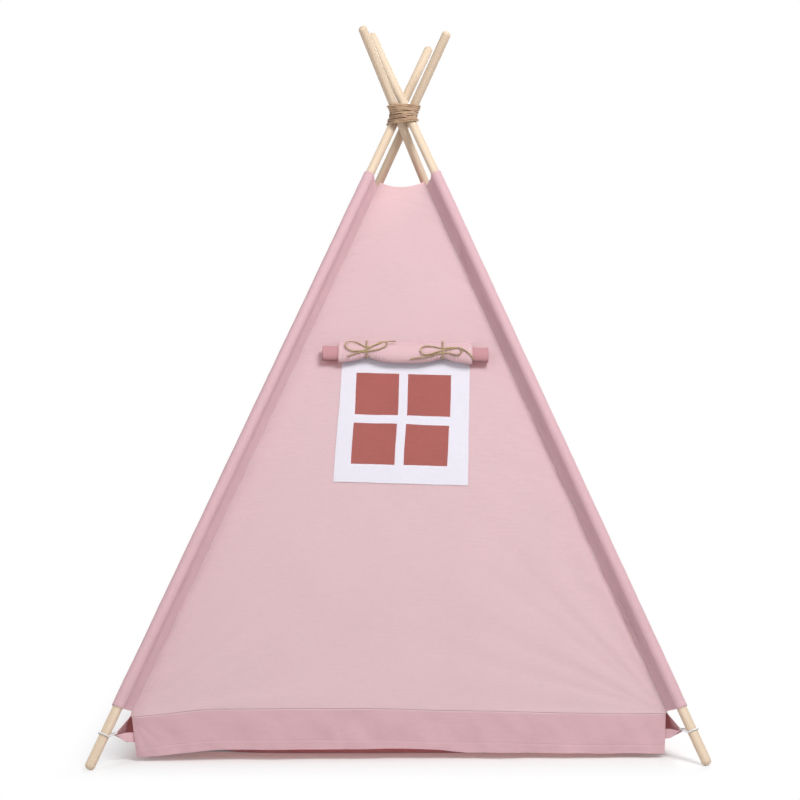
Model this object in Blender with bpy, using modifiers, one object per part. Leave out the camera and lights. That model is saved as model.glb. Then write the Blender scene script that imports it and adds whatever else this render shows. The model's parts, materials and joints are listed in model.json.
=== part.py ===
"""A kids' teepee: four round poles lashed at the top, a sewn cotton cover on sleeves, and a floor mat.

Metres, +Z up. The origin is on the floor under the lashing, +X is to the right of a viewer who
faces the window, and the door is at +Y. Poles and corners are counted anticlockwise from the one
at the left of the window wall, and wall k hangs between pole k and the next.
"""

from math import acos, copysign, cos, pi, radians, sin, sqrt, tan

import bmesh
import bpy
from mathutils import Matrix, Vector

# Poles: round stock with rounded ends, crossing in two pairs where they are lashed.
# The feet's places are shares of the base's width, and the crossings' are shares of the diameter.
POLES = ("window_left", "window_right", "door_right", "door_left")
CORNERS = ((-1, -1), (1, -1), (1, 1), (-1, 1))
POLE_LENGTH = 1.800
POLE_DIAMETER = 0.020
POLE_END_ROUND = 0.008
BASE_WIDTH = 1.200
LASH_HEIGHT = 1.340
FOOT_SHARES = ((0.517, 0.515), (0.493, 0.496), (0.474, 0.497), (0.516, 0.491))
CROSSING_SHARES = ((-0.71, 0.70), (0.625, -0.67), (-0.615, -0.785), (0.665, 0.78))

# Sleeves: a tube of cloth round each pole, drawn in to the corner seam
SLEEVE_BOTTOM = 0.104
SLEEVE_ABOVE_WALL = 0.020
SLEEVE_CLOTH = 0.0010
SLEEVE_CLEARANCE = 0.0008
SEAM_FROM_POLE = 0.037
SEAM_ROUND = 0.0016

# Walls and the bands below them
WALL_CLOTH = 0.0020
SEAM_INSET = 0.0040
SEW_GAP = 0.0006
WINDOW_SIDE_TOP = 1.188
DOOR_SIDE_TOP = 1.166
TOP_SCOOP = 0.012
BAND_SEAM_HEIGHT = 0.090
HEM_CORNER_HEIGHT = 0.004
HEM_RISE = 0.014
HEM_WAVE = 0.0015
BAND_FOLD = 0.0025
BAND_INSET = 0.004
BAND_TAPERS = (0.010, 0.002)
SIDE_BAND_INSET = 0.007
CURTAIN_TAPER = 0.015
BAND_HEM_HEIGHT = 0.015
BAND_TIP_HEIGHT = 0.072
BAND_TIP_GAP = 0.006

# Window: a white frame sewn on the wall round a square hole
WINDOW_HEIGHT = 0.6650
WINDOW_SHIFT = -0.003
WINDOW_TILT = radians(1.7)
PANE_WIDTH = 0.092
PANE_HEIGHT = 0.096
MUNTIN_WIDTH = 0.019
FRAME_BORDER = 0.0385
FRAME_CLOTH = 0.0016
FRAME_GAP = 0.0010
HOLE_MARGIN = 0.008

# Blind: rolled up above the window and held by two tied bows
BLIND_SHIFT = 0.003
BLIND_TILT = radians(0.7)
ROLL_LENGTH = 0.351
ROLL_DIAMETER = 0.036
ROLL_LIFT = 0.1455
ROLL_GAP = 0.0015
COVER_WIDTH = 0.287
COVER_CLOTH = 0.0016
COVER_SEAM_LIFT = 0.180
TIE_PLACES = (-0.083, 0.080)
TIE_REACH = 0.060
TIE_LIFT = 0.009
TIE_PINCH = 0.005
KNOT_LIFT = 0.150

# Twine, elastic and the lashing
TWINE = 0.0030
TWINE_GAP = 0.0006
LASH_TWINE = 0.0036
LASH_SPAN = 0.038
LASH_LIFT = 0.004
LASH_TURNS = 9
LASH_CLEARANCE = 0.0014
ELASTIC = 0.0035
ELASTIC_FROM_FOOT = 0.0720
ELASTIC_CLEARANCE = 0.0004
ELASTIC_REACH = 0.0320
ELASTIC_BEND = 0.0030

# Door: two curtains that meet below a fixed top
DOOR_TOP_HEIGHT = 0.930
DOOR_GAP = 0.008

# Floor mat: flat on the floor, with its corners drawn up to the elastics
MAT_HALF_WIDTH = 0.480
MAT_THICKNESS = 0.008
MAT_CORNER_ROUND = 0.038
MAT_TIP_GAP = 0.0012

SEAM_TOPS = (WINDOW_SIDE_TOP, WINDOW_SIDE_TOP, DOOR_SIDE_TOP, DOOR_SIDE_TOP)
WALL_ALONG = (Vector((1, 0, 0)), Vector((0, 1, 0)), Vector((-1, 0, 0)), Vector((0, -1, 0)))

COLOURS = {
    "pine": ((0.74, 0.58, 0.40, 1), 0.55),
    "sleeve_cotton": ((0.72, 0.42, 0.46, 1), 0.9),
    "pink_cotton": ((0.78, 0.49, 0.54, 1), 0.9),
    "white_cotton": ((0.86, 0.86, 0.90, 1), 0.9),
    "jute": ((0.38, 0.24, 0.13, 1), 0.95),
    "elastic": ((0.82, 0.82, 0.80, 1), 0.8),
}


def empty_the_scene():
    for old in list(bpy.data.objects):
        bpy.data.objects.remove(old)
    for collection in list(bpy.data.collections):
        bpy.data.collections.remove(collection)
    teepee = bpy.data.collections.new("kids_teepee")
    bpy.context.scene.collection.children.link(teepee)
    return teepee


def colour(obj, look):
    material = bpy.data.materials.new(obj.name)
    material.use_nodes = True
    shader = material.node_tree.nodes["Principled BSDF"]
    shader.inputs["Base Color"].default_value = COLOURS[look][0]
    shader.inputs["Roughness"].default_value = COLOURS[look][1]
    obj.data.materials.append(material)


def add(name, data, look, parent=None):
    obj = bpy.data.objects.new(name, data)
    teepee.objects.link(obj)
    obj.parent = parent
    colour(obj, look)
    return obj


def add_empty(name, matrix):
    empty = bpy.data.objects.new(name, None)
    teepee.objects.link(empty)
    empty.matrix_world = matrix
    return empty


# The lines that everything hangs on


def pole_line(k):
    """The pole's axis: where it passes the lashing's middle, its direction upwards, and its length below."""
    crossing = Vector((*CROSSING_SHARES[k], 0)) * POLE_DIAMETER
    crossing.z = LASH_HEIGHT
    foot = Vector((CORNERS[k][0] * FOOT_SHARES[k][0], CORNERS[k][1] * FOOT_SHARES[k][1], 0)) * BASE_WIDTH
    for _ in range(4):
        up = (crossing - foot).normalized()
        flat_part = POLE_DIAMETER / 2 - POLE_END_ROUND
        foot.z = POLE_END_ROUND + flat_part * Vector((up.x, up.y)).length - POLE_END_ROUND * up.z
    return crossing, up, (crossing - foot).length


def pole_frame(k):
    """Origin at the crossing, Z up the pole, X square to it, inwards and down."""
    crossing, up, _ = pole_line(k)
    inward = (Vector((0, 0, -1)) - up * -up.z).normalized()
    frame = Matrix((inward, up.cross(inward), up)).transposed().to_4x4()
    frame.translation = crossing
    return frame


def pole_lean(k):
    return acos(pole_line(k)[1].z)


def seam_point(k, height):
    """A point of the corner seam, which runs parallel to the pole, inside it."""
    frame = pole_frame(k)
    start = frame @ Vector((SEAM_FROM_POLE, 0, 0))
    up = frame.col[2].to_3d()
    return start + up * ((height - start.z) / up.z)


def wall_half(k, height):
    """How far the wall's two seams are from the middle plane, along the wall: (first, second)."""
    along = WALL_ALONG[k]
    return seam_point(k, height).dot(along), seam_point((k + 1) % 4, height).dot(along)


def wall_out(k):
    """The wall's outward direction, square to its slope."""
    low = (seam_point(k, BAND_SEAM_HEIGHT) + seam_point((k + 1) % 4, BAND_SEAM_HEIGHT)) / 2
    high = (seam_point(k, DOOR_SIDE_TOP) + seam_point((k + 1) % 4, DOOR_SIDE_TOP)) / 2
    return WALL_ALONG[k].cross(high - low).normalized()


def wall_top(k, share):
    """The height of the wall's scooped top edge."""
    first, second = SEAM_TOPS[k], SEAM_TOPS[(k + 1) % 4]
    return first + (second - first) * share - 4 * TOP_SCOOP * share * (1 - share)


def wall_point(k, u, height, out=0.0):
    """A point of wall k: u along it from the middle plane, at a height, and out from the cloth's middle."""
    first, second = seam_point(k, height), seam_point((k + 1) % 4, height)
    along = WALL_ALONG[k]
    share = (u - first.dot(along)) / (second - first).dot(along)
    return first.lerp(second, share) + wall_out(k) * out


def window_point(a, b, out, tilt=WINDOW_TILT):
    """A point on the window wall: a to the right of the window's centre, b up the slope, out from the wall."""
    u = WINDOW_SHIFT + a * cos(tilt) + b * sin(tilt)
    rise = b * cos(tilt) - a * sin(tilt)
    slope = sqrt(1 - wall_out(0).z ** 2)
    return wall_point(0, u, WINDOW_HEIGHT + rise * slope, out)


def blind_point(a, b, out):
    return window_point(BLIND_SHIFT + a, b, out, BLIND_TILT)


def elastic_point(k):
    """Where the elastic goes round the pole: on the pole's axis."""
    crossing, up, below = pole_line(k)
    return crossing - up * (below - ELASTIC_FROM_FOOT)


def corner_tip(k, past):
    """A point inwards of the pole, level with the elastic, past its drawn-out end by a distance."""
    inward = Vector((pole_line(k)[1].x, pole_line(k)[1].y, 0)).normalized()
    return elastic_point(k) + inward * (ELASTIC_REACH + ELASTIC / 2 + past)


# Ways to make a piece


def dense_ends(count):
    """Shares from 0 to 1 that lie closer together towards both ends."""
    shares = []
    for n in range(count + 1):
        side = 2 * n / count - 1
        shares.append((1 + copysign(1 - (1 - abs(side)) ** 2.5, side)) / 2)
    return shares


def even(count):
    return [n / count for n in range(count + 1)]


def sheet(name, across, along, place, thickness, look, parent=None, holes=(), both_sides=True):
    """A sheet of cloth: a grid placed by place(across share, along share) and given its thickness.

    holes lists the cells left out, as (column, row).
    """
    grid = bmesh.new()
    columns, rows = len(across) - 1, len(along) - 1
    bmesh.ops.create_grid(grid, x_segments=columns, y_segments=rows, size=1)
    for vert in grid.verts:
        vert.co.x = round((vert.co.x + 1) / 2 * columns)
        vert.co.y = round((vert.co.y + 1) / 2 * rows)
    cut = [f for f in grid.faces if tuple(int(c) for c in f.calc_center_median().to_2d()) in holes]
    bmesh.ops.delete(grid, geom=cut, context="FACES")
    for vert in grid.verts:
        vert.co = place(across[int(vert.co.x)], along[int(vert.co.y)])
    mesh = bpy.data.meshes.new(name)
    grid.to_mesh(mesh)
    grid.free()
    obj = add(name, mesh, look, parent)
    if parent:
        mesh.transform(parent.matrix_world.inverted())
    solid = obj.modifiers.new("Cloth", "SOLIDIFY")
    solid.thickness = thickness
    solid.offset = 0 if both_sides else 1
    solid.use_even_offset = True
    return obj


def turned(name, profile, look, parent, steps=16):
    """A solid of revolution about the parent's Z, from (radius, z) points that run from top to bottom."""
    mesh = bpy.data.meshes.new(name)
    edges = [(n, n + 1) for n in range(len(profile) - 1)]
    mesh.from_pydata([(r, 0, z) for r, z in profile], edges, [])
    obj = add(name, mesh, look, parent)
    screw = obj.modifiers.new("Turn", "SCREW")
    screw.steps = screw.render_steps = steps
    screw.use_merge_vertices = True
    screw.merge_threshold = 0.00001
    return obj


def tube(name, points, diameter, look, parent=None, closed=False, sides=2):
    """A cord through the points, given in the parent's space."""
    curve = bpy.data.curves.new(name, "CURVE")
    curve.dimensions = "3D"
    curve.bevel_depth = diameter / 2
    curve.bevel_resolution = sides
    curve.use_fill_caps = True
    spline = curve.splines.new("POLY")
    spline.points.add(len(points) - 1)
    for point, place in zip(spline.points, points):
        point.co = (*place, 1)
    spline.use_cyclic_u = closed
    return add(name, curve, look, parent)


def belt(big, small, apart, big_steps, small_steps):
    """The outline of a belt round two circles, the big one at the origin and the small one at +X."""
    turn = acos((big - small) / apart)
    points = []
    for n in range(big_steps + 1):
        angle = turn + (2 * pi - 2 * turn) * n / big_steps
        points.append((big * cos(angle), big * sin(angle)))
    for n in range(small_steps + 1):
        angle = -turn + 2 * turn * n / small_steps
        points.append((apart + small * cos(angle), small * sin(angle)))
    return points


def smooth_route(points, steps):
    """Points on a smooth curve through the given ones."""
    ends = [points[0] * 2 - points[1]] + points + [points[-1] * 2 - points[-2]]
    route = []
    for n in range(len(points) - 1):
        p0, p1, p2, p3 = ends[n : n + 4]
        for step in range(steps):
            t = step / steps
            route.append(
                (p1 * 2 + (p2 - p0) * t + (p0 * 2 - p1 * 5 + p2 * 4 - p3) * t**2) / 2
                + (p1 * 3 - p0 - p2 * 3 + p3) * (t**3 / 2)
            )
    return route + [points[-1]]


# Poles, sleeves and elastics


def rounded_end(z, towards, steps=4):
    """Profile points round a pole's end at z, from the axis to its side; towards is -1 at a top end."""
    flat = POLE_DIAMETER / 2 - POLE_END_ROUND
    points = [(0.0, z)]
    for n in range(steps + 1):
        angle = pi / 2 * n / steps
        points.append((flat + POLE_END_ROUND * sin(angle), z + towards * POLE_END_ROUND * (1 - cos(angle))))
    return points


def pole(k, frame):
    below = pole_line(k)[2]
    profile = rounded_end(POLE_LENGTH - below, -1) + rounded_end(-below, 1)[::-1]
    turned(f"pole_{POLES[k]}", profile, "pine", frame)


def sleeve(k, frame):
    name = f"sleeve_{POLES[k]}"
    crossing, up, _ = pole_line(k)
    bottom = (SLEEVE_BOTTOM - crossing.z) / up.z
    top = (SEAM_TOPS[k] + SLEEVE_ABOVE_WALL - crossing.z) / up.z
    outer = POLE_DIAMETER / 2 + SLEEVE_CLEARANCE + SLEEVE_CLOTH
    curve = bpy.data.curves.new(name, "CURVE")
    curve.dimensions = "2D"
    curve.fill_mode = "BOTH"
    curve.extrude = (top - bottom) / 2
    for inset in (0, SLEEVE_CLOTH):
        outline = belt(outer - inset, SEAM_ROUND - inset, SEAM_FROM_POLE, 18, 4)
        spline = curve.splines.new("POLY")
        spline.points.add(len(outline) - 1)
        for point, (x, y) in zip(spline.points, outline):
            point.co = (x, y, 0, 1)
        spline.use_cyclic_u = True
    obj = add(name, curve, "sleeve_cotton", frame)
    obj.location.z = (top + bottom) / 2


def elastic(k, frame):
    """A loop round the pole, drawn out level to the mat's corner."""
    lean = pole_lean(k)
    around = POLE_DIAMETER / 2 + ELASTIC_CLEARANCE + ELASTIC / 2
    outline = belt(around, ELASTIC_BEND, (ELASTIC_REACH - ELASTIC_BEND) * cos(lean), 14, 3)
    rise = ELASTIC_FROM_FOOT - pole_line(k)[2]
    points = [(x, y, rise + max(0.0, x) * tan(lean)) for x, y in outline]
    tube(f"elastic_{POLES[k]}", points, ELASTIC, "elastic", frame, closed=True, sides=1)


# Walls


def full_wall(k, name):
    """A wall that is whole from the band's seam to the scooped top edge."""

    def place(share, rise):
        height = BAND_SEAM_HEIGHT + (wall_top(k, share) - BAND_SEAM_HEIGHT) * rise
        first, second = wall_half(k, height)
        return wall_point(k, first + SEAM_INSET + (second - first - 2 * SEAM_INSET) * share, height)

    sheet(name, even(6), even(6), place, WALL_CLOTH, "pink_cotton")


def window_wall():
    """The wall with the window's hole. Its middle columns run beside the hole and draw in above it."""
    hole = PANE_WIDTH + MUNTIN_WIDTH / 2 + HOLE_MARGIN
    hole_rise = (PANE_HEIGHT + MUNTIN_WIDTH / 2 + HOLE_MARGIN) * sqrt(1 - wall_out(0).z ** 2)
    low, high = WINDOW_HEIGHT - hole_rise, WINDOW_HEIGHT + hole_rise
    rows = [BAND_SEAM_HEIGHT + (low - BAND_SEAM_HEIGHT) * n / 3 for n in range(4)]
    rows += [high + (WINDOW_SIDE_TOP - high) * n / 3 for n in range(4)]
    crowding_share = 0.7

    def place(column, row):
        height = rows[row]
        if row == len(rows) - 1:
            side = 2 * column / 5 - 1
            height -= TOP_SCOOP * (1 - side**2)
        first, second = wall_half(0, height)
        first, second = first + SEAM_INSET, second - SEAM_INSET
        beside = min(hole, crowding_share * (second - WINDOW_SHIFT))
        places = [first, (first + WINDOW_SHIFT - beside) / 2, WINDOW_SHIFT - beside]
        places += [WINDOW_SHIFT + beside, (second + WINDOW_SHIFT + beside) / 2, second]
        return wall_point(0, places[column], height)

    sheet("window_wall", range(6), range(8), place, WALL_CLOTH, "pink_cotton", holes={(2, 3)})


def window_frame():
    def lines(pane):
        inner, outer = MUNTIN_WIDTH / 2, MUNTIN_WIDTH / 2 + pane
        edge = outer + FRAME_BORDER
        return -edge, -outer, -inner, inner, outer, edge

    out = WALL_CLOTH / 2 + FRAME_GAP + FRAME_CLOTH / 2

    def place(a, b):
        return window_point(a, b, out)

    panes = {(1, 1), (3, 1), (1, 3), (3, 3)}
    sheet("window_frame", lines(PANE_WIDTH), lines(PANE_HEIGHT), place, FRAME_CLOTH, "white_cotton", holes=panes)


def band(k, name):
    """The band below a wall. It hangs straight down, and under the window its hem waves a little."""
    first, second = wall_half(k, BAND_SEAM_HEIGHT)
    top = BAND_SEAM_HEIGHT - WALL_CLOTH / 2 - SEW_GAP
    out = Vector((wall_out(k).x, wall_out(k).y, 0)).normalized()

    def place(share, drop):
        left = first + BAND_INSET + BAND_TAPERS[0] * drop
        right = second - BAND_INSET - BAND_TAPERS[1] * drop
        u = left + (right - left) * share
        hem = HEM_CORNER_HEIGHT + HEM_RISE * (1 - (2 * share - 1) ** 4)
        hem += HEM_WAVE * (1 - cos(10 * pi * share))
        point = wall_point(k, u, BAND_SEAM_HEIGHT) + out * (BAND_FOLD * drop * sin(7 * pi * share) ** 2)
        point.z = top + (hem - top) * drop
        return point

    sheet(name, even(28), even(3), place, WALL_CLOTH, "pink_cotton")


def side_band(k, name):
    """A side wall's band. Its two lower corners are drawn out to the elastics at the poles."""
    first, second = wall_half(k, BAND_SEAM_HEIGHT)
    top = BAND_SEAM_HEIGHT - WALL_CLOTH / 2 - SEW_GAP

    def place(share, drop):
        ends = first + SIDE_BAND_INSET, second - SIDE_BAND_INSET
        point = wall_point(k, ends[0] + (ends[1] - ends[0]) * share, BAND_SEAM_HEIGHT)
        point.z = top + (BAND_HEM_HEIGHT - top) * drop
        side = 2 * share - 1
        corner = k if side < 0 else (k + 1) % 4
        tip = corner_tip(corner, BAND_TIP_GAP)
        tip.z = BAND_TIP_HEIGHT
        hung = wall_point(k, ends[side > 0], BAND_SEAM_HEIGHT)
        hung.z = BAND_HEM_HEIGHT
        return point + (tip - hung) * (drop * abs(side) ** 14)

    sheet(name, dense_ends(16), even(3), place, WALL_CLOTH, "pink_cotton")


# Door: the fixed top and the two curtains


def door_top():
    def place(share, rise):
        height = DOOR_TOP_HEIGHT + SEW_GAP + (wall_top(2, share) - DOOR_TOP_HEIGHT - SEW_GAP) * rise
        first, second = wall_half(2, height)
        return wall_point(2, first + SEAM_INSET + (second - first - 2 * SEAM_INSET) * share, height)

    sheet("door_top", even(4), even(2), place, WALL_CLOTH, "pink_cotton")


def curtain(name, seam, parent):
    """One half of the door, from its corner seam to the middle. seam is 0 or 1, the end of wall 2 it hangs on."""
    inner = copysign(DOOR_GAP / 2, seam - 0.5)
    heights = [HEM_CORNER_HEIGHT + HEM_RISE, BAND_SEAM_HEIGHT]
    heights += [BAND_SEAM_HEIGHT + (DOOR_TOP_HEIGHT - SEW_GAP - BAND_SEAM_HEIGHT) * n / 4 for n in range(1, 5)]

    def place(share, row):
        on_wall = max(heights[row], BAND_SEAM_HEIGHT)
        edge = wall_half(2, on_wall)[seam]
        edge -= copysign(CURTAIN_TAPER if row == 0 else SEAM_INSET, edge)
        point = wall_point(2, inner + (edge - inner) * share if seam else edge + (inner - edge) * share, on_wall)
        point.z += heights[row] - on_wall
        return point

    sheet(name, even(4), range(6), place, WALL_CLOTH, "pink_cotton", parent)


# Blind above the window


def tie_closeness(a):
    """1 at a tie, falling to 0 at its reach along the roll."""
    return max(max(0.0, 1 - abs(a - place) / TIE_REACH) for place in TIE_PLACES)


def roll_radius(a):
    return ROLL_DIAMETER / 2 - TIE_PINCH * tie_closeness(a) ** 3


def roll_centre(a):
    """The roll's axis at a, as (up, out) on the wall. The ties draw it up, and it sags between them."""
    out = WALL_CLOTH / 2 + FRAME_GAP + FRAME_CLOTH + 2 * ROLL_GAP + COVER_CLOTH + ROLL_DIAMETER / 2
    return ROLL_LIFT + TIE_LIFT * tie_closeness(a) ** 1.5, out


def round_the_roll(a, angle, radius):
    """A point round the roll's axis: angle 0 faces out from the wall, and 90 degrees is up."""
    up, out = roll_centre(a)
    return blind_point(a, up + radius * sin(angle), out + radius * cos(angle))


def stations(length):
    """Places along the roll, closer together at the ties."""
    reach_shares = (0, 0.1, 0.25, 0.5, 0.8)
    places = [place + side * TIE_REACH * share for place in TIE_PLACES for share in reach_shares for side in (-1, 1)]
    inside = [place for place in places if abs(place) < length / 2 * 0.96]
    return sorted({-length / 2, 0.0, length / 2, *inside})


def blind_roll():
    places = stations(ROLL_LENGTH)
    curve = bpy.data.curves.new("blind_roll", "CURVE")
    curve.dimensions = "3D"
    curve.bevel_depth = ROLL_DIAMETER / 2
    curve.bevel_resolution = 4
    curve.use_fill_caps = True
    spline = curve.splines.new("POLY")
    spline.points.add(len(places) - 1)
    for a, point in zip(places, spline.points):
        point.co = (*blind_point(a, *roll_centre(a)), 1)
        point.radius = roll_radius(a) / (ROLL_DIAMETER / 2)
    add("blind_roll", curve, "sleeve_cotton")


def blind_cover():
    """The cloth between the sewn edge above the window and the roll: down over the roll's front and under it."""
    start, end = radians(128), radians(-150)

    def place(a, along):
        if along < 0:
            return blind_point(a, COVER_SEAM_LIFT, WALL_CLOTH / 2 + FRAME_GAP + COVER_CLOTH / 2)
        return round_the_roll(a, start + (end - start) * along, roll_radius(a) + ROLL_GAP + COVER_CLOTH / 2)

    sheet("blind_cover", stations(COVER_WIDTH), [-1] + even(9), place, COVER_CLOTH, "pink_cotton")


def covered_radius(a):
    """From the roll's axis to the outside of the cloth over it."""
    return roll_radius(a) + ROLL_GAP + COVER_CLOTH + TWINE_GAP


# The bows' routes, in metres: right of the knot, up from it, and clear of the covered roll
LEFT_BOW = (
    (-0.0420, -0.0170, 0.0010), (-0.0310, -0.0110, 0.0015), (-0.0190, -0.0070, 0.0015), (-0.0090, -0.0045, 0.0010),
    (0.0000, -0.0038, 0.0006), (0.0100, -0.0030, 0.0010), (0.0220, 0.0005, 0.0020), (0.0330, 0.0060, 0.0030),
    (0.0385, 0.0125, 0.0040), (0.0330, 0.0160, 0.0040), (0.0230, 0.0085, 0.0020), (0.0110, 0.0022, 0.0010),
    (0.0000, 0.0000, 0.0000), (-0.0100, 0.0000, 0.0010), (-0.0220, -0.0010, 0.0020), (-0.0350, -0.0035, 0.0035),
    (-0.0440, 0.0020, 0.0045), (-0.0460, 0.0100, 0.0050), (-0.0400, 0.0180, 0.0060), (-0.0300, 0.0205, 0.0060),
    (-0.0190, 0.0150, 0.0035), (-0.0090, 0.0072, 0.0015), (0.0000, 0.0038, 0.0000), (0.0100, 0.0068, 0.0015),
    (0.0220, 0.0135, 0.0040), (0.0340, 0.0215, 0.0030), (0.0480, 0.0260, -0.0040), (0.0625, 0.0278, -0.0100),
)
RIGHT_BOW = (
    (-0.0705, -0.0210, 0.0010), (-0.0560, -0.0185, 0.0015), (-0.0410, -0.0165, 0.0020), (-0.0250, -0.0130, 0.0020),
    (-0.0110, -0.0070, 0.0010), (0.0000, -0.0038, 0.0006), (0.0100, -0.0042, 0.0010), (0.0210, -0.0065, 0.0020),
    (0.0310, -0.0070, 0.0030), (0.0365, -0.0035, 0.0035), (0.0310, 0.0005, 0.0030), (0.0210, 0.0000, 0.0020),
    (0.0100, 0.0000, 0.0010), (0.0000, 0.0000, 0.0000), (-0.0100, -0.0010, 0.0010), (-0.0220, -0.0065, 0.0020),
    (-0.0350, -0.0110, 0.0035), (-0.0455, -0.0085, 0.0045), (-0.0480, -0.0010, 0.0050), (-0.0400, 0.0065, 0.0050),
    (-0.0265, 0.0090, 0.0030), (-0.0110, 0.0060, 0.0010), (0.0000, 0.0038, 0.0000), (0.0100, 0.0045, 0.0010),
    (0.0230, 0.0048, 0.0020), (0.0400, 0.0040, 0.0025), (0.0520, -0.0030, 0.0020), (0.0605, -0.0120, 0.0015),
    (0.0665, -0.0200, 0.0010),
)


def bow(name, middle, route):
    """One end of the tie, looped twice: its three passes lie on the covered roll, under the band."""
    points = []
    for right, lift, clear in route:
        a, b = middle + right, KNOT_LIFT + lift
        up, out = roll_centre(a)
        radius = covered_radius(a) + TWINE / 2
        points.append(blind_point(a, b, out + sqrt(max(0.0, radius**2 - (b - up) ** 2)) + clear))
    route = smooth_route(points, 3)
    print(f"{name}: least gap to itself {least_gap(route, 8, TWINE) * 1000:.2f} mm")
    tube(name, route, TWINE, "jute")


def tie_band(name, middle):
    """The twine that holds the roll: from the sewn edge over the bow's middle and under the roll."""
    start, end, knot = radians(112), radians(-150), radians(-15)
    points = [blind_point(middle, COVER_SEAM_LIFT + TWINE, WALL_CLOTH / 2 + TWINE_GAP + TWINE / 2)]
    for share in even(18):
        angle = start + (end - start) * share
        over_bow = min(1.0, 2 * max(0.0, cos(angle - knot)))
        radius = covered_radius(middle) + TWINE / 2 + (TWINE + TWINE_GAP) * over_bow
        points.append(round_the_roll(middle, angle, radius))
    tube(name, points, TWINE, "jute")


# Lashing: one unbroken twine, wound round the four poles


def turn_of_hull(points):
    """The convex outline of flat points, anticlockwise."""

    def chain(ordered):
        line = []
        for p in ordered:
            while len(line) > 1 and (line[-1] - line[-2]).cross(p - line[-2]) <= 0:
                line.pop()
            line.append(p)
        return line[:-1]

    ordered = sorted(points, key=lambda p: (p.x, p.y))
    return chain(ordered) + chain(ordered[::-1])


def bundle_outline(height, steps):
    """A loop round the four poles at a height, as evenly spaced flat points that start straight in front."""
    around = POLE_DIAMETER / 2 + LASH_CLEARANCE + LASH_TWINE / 2
    points = []
    for k in range(4):
        crossing, up, _ = pole_line(k)
        centre = crossing + up * ((height - crossing.z) / up.z)
        slant = Vector((up.x, up.y)).normalized()
        square = Vector((-slant.y, slant.x))
        for n in range(48):
            angle = 2 * pi * n / 48
            points.append(centre.to_2d() + slant * (around / up.z * cos(angle)) + square * (around * sin(angle)))
    hull = turn_of_hull(points)
    hull.append(hull[0])
    lengths = [0.0]
    for a, b in zip(hull, hull[1:]):
        lengths.append(lengths[-1] + (b - a).length)
    front = next(n for n in range(len(hull) - 1) if hull[n].x <= 0 < hull[n + 1].x)
    start = lengths[front] - (hull[front + 1] - hull[front]).length * hull[front].x / (hull[front + 1].x - hull[front].x)
    loop = []
    for step in range(steps):
        at = (start + lengths[-1] * step / steps) % lengths[-1]
        n = max(i for i in range(len(hull) - 1) if lengths[i] <= at)
        loop.append(hull[n].lerp(hull[n + 1], (at - lengths[n]) / (lengths[n + 1] - lengths[n])))
    return loop


def lashing():
    steps = 24
    pitch = LASH_SPAN / LASH_TURNS
    points = []
    for n in range(LASH_TURNS * steps + 1):
        height = LASH_HEIGHT + LASH_LIFT - LASH_SPAN / 2 + pitch * n / steps
        flat = bundle_outline(height, steps)[n % steps]
        points.append(Vector((flat.x, flat.y, height)))
    gap = least_gap(points, steps // 2, LASH_TWINE)
    print(f"lashing: {LASH_TURNS} turns, least gap to itself {gap * 1000:.2f} mm")
    tube("lashing", points, LASH_TWINE, "jute", sides=1)


def least_gap(points, apart, diameter):
    """The least gap between stretches of a tube that are at least so many points apart."""
    gap = None
    for i, a in enumerate(points):
        for b in points[i + apart :]:
            found = (a - b).length - diameter
            gap = found if gap is None else min(gap, found)
    return gap


# Floor mat


def floor_mat():
    """Flat on the floor, with a tip at each corner that rises to the elastic."""

    def place(across, along):
        u, v = 2 * across - 1, 2 * along - 1
        corner = next(k for k in range(4) if CORNERS[k][0] * u >= 0 and CORNERS[k][1] * v >= 0)
        both = abs(u * v)
        rounded = MAT_HALF_WIDTH - MAT_CORNER_ROUND * both**4
        flat = Vector((u * rounded, v * rounded, 0))
        tip = corner_tip(corner, MAT_TIP_GAP)
        tip.z -= MAT_THICKNESS / 2
        end = Vector((*CORNERS[corner], 0)) * (MAT_HALF_WIDTH - MAT_CORNER_ROUND)
        pull = (tip - end) * both**24
        pull.z = tip.z * max(0.0, both - 0.5) ** 5 / 0.5**5
        return flat + pull

    sheet("floor_mat", dense_ends(16), dense_ends(16), place, MAT_THICKNESS, "pink_cotton", both_sides=False)


teepee = empty_the_scene()
frames = [add_empty(f"{POLES[k]}_axis", pole_frame(k)) for k in range(4)]
for k, frame in enumerate(frames):
    pole(k, frame)
    sleeve(k, frame)
    elastic(k, frame)
window_wall()
full_wall(1, "right_wall")
full_wall(3, "left_wall")
band(0, "window_band")
side_band(1, "right_band")
side_band(3, "left_band")
window_frame()
blind_roll()
blind_cover()
tie_band("blind_tie_left", TIE_PLACES[0])
tie_band("blind_tie_right", TIE_PLACES[1])
bow("blind_bow_left", TIE_PLACES[0], LEFT_BOW)
bow("blind_bow_right", TIE_PLACES[1], RIGHT_BOW)
door_top()
for name, seam, k in (("curtain_right", 0, 2), ("curtain_left", 1, 3)):
    hinge = pole_frame(k)
    hinge.translation = seam_point(k, BAND_SEAM_HEIGHT)
    curtain(name, seam, add_empty(f"{name}_axis", hinge))
lashing()
floor_mat()
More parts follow.
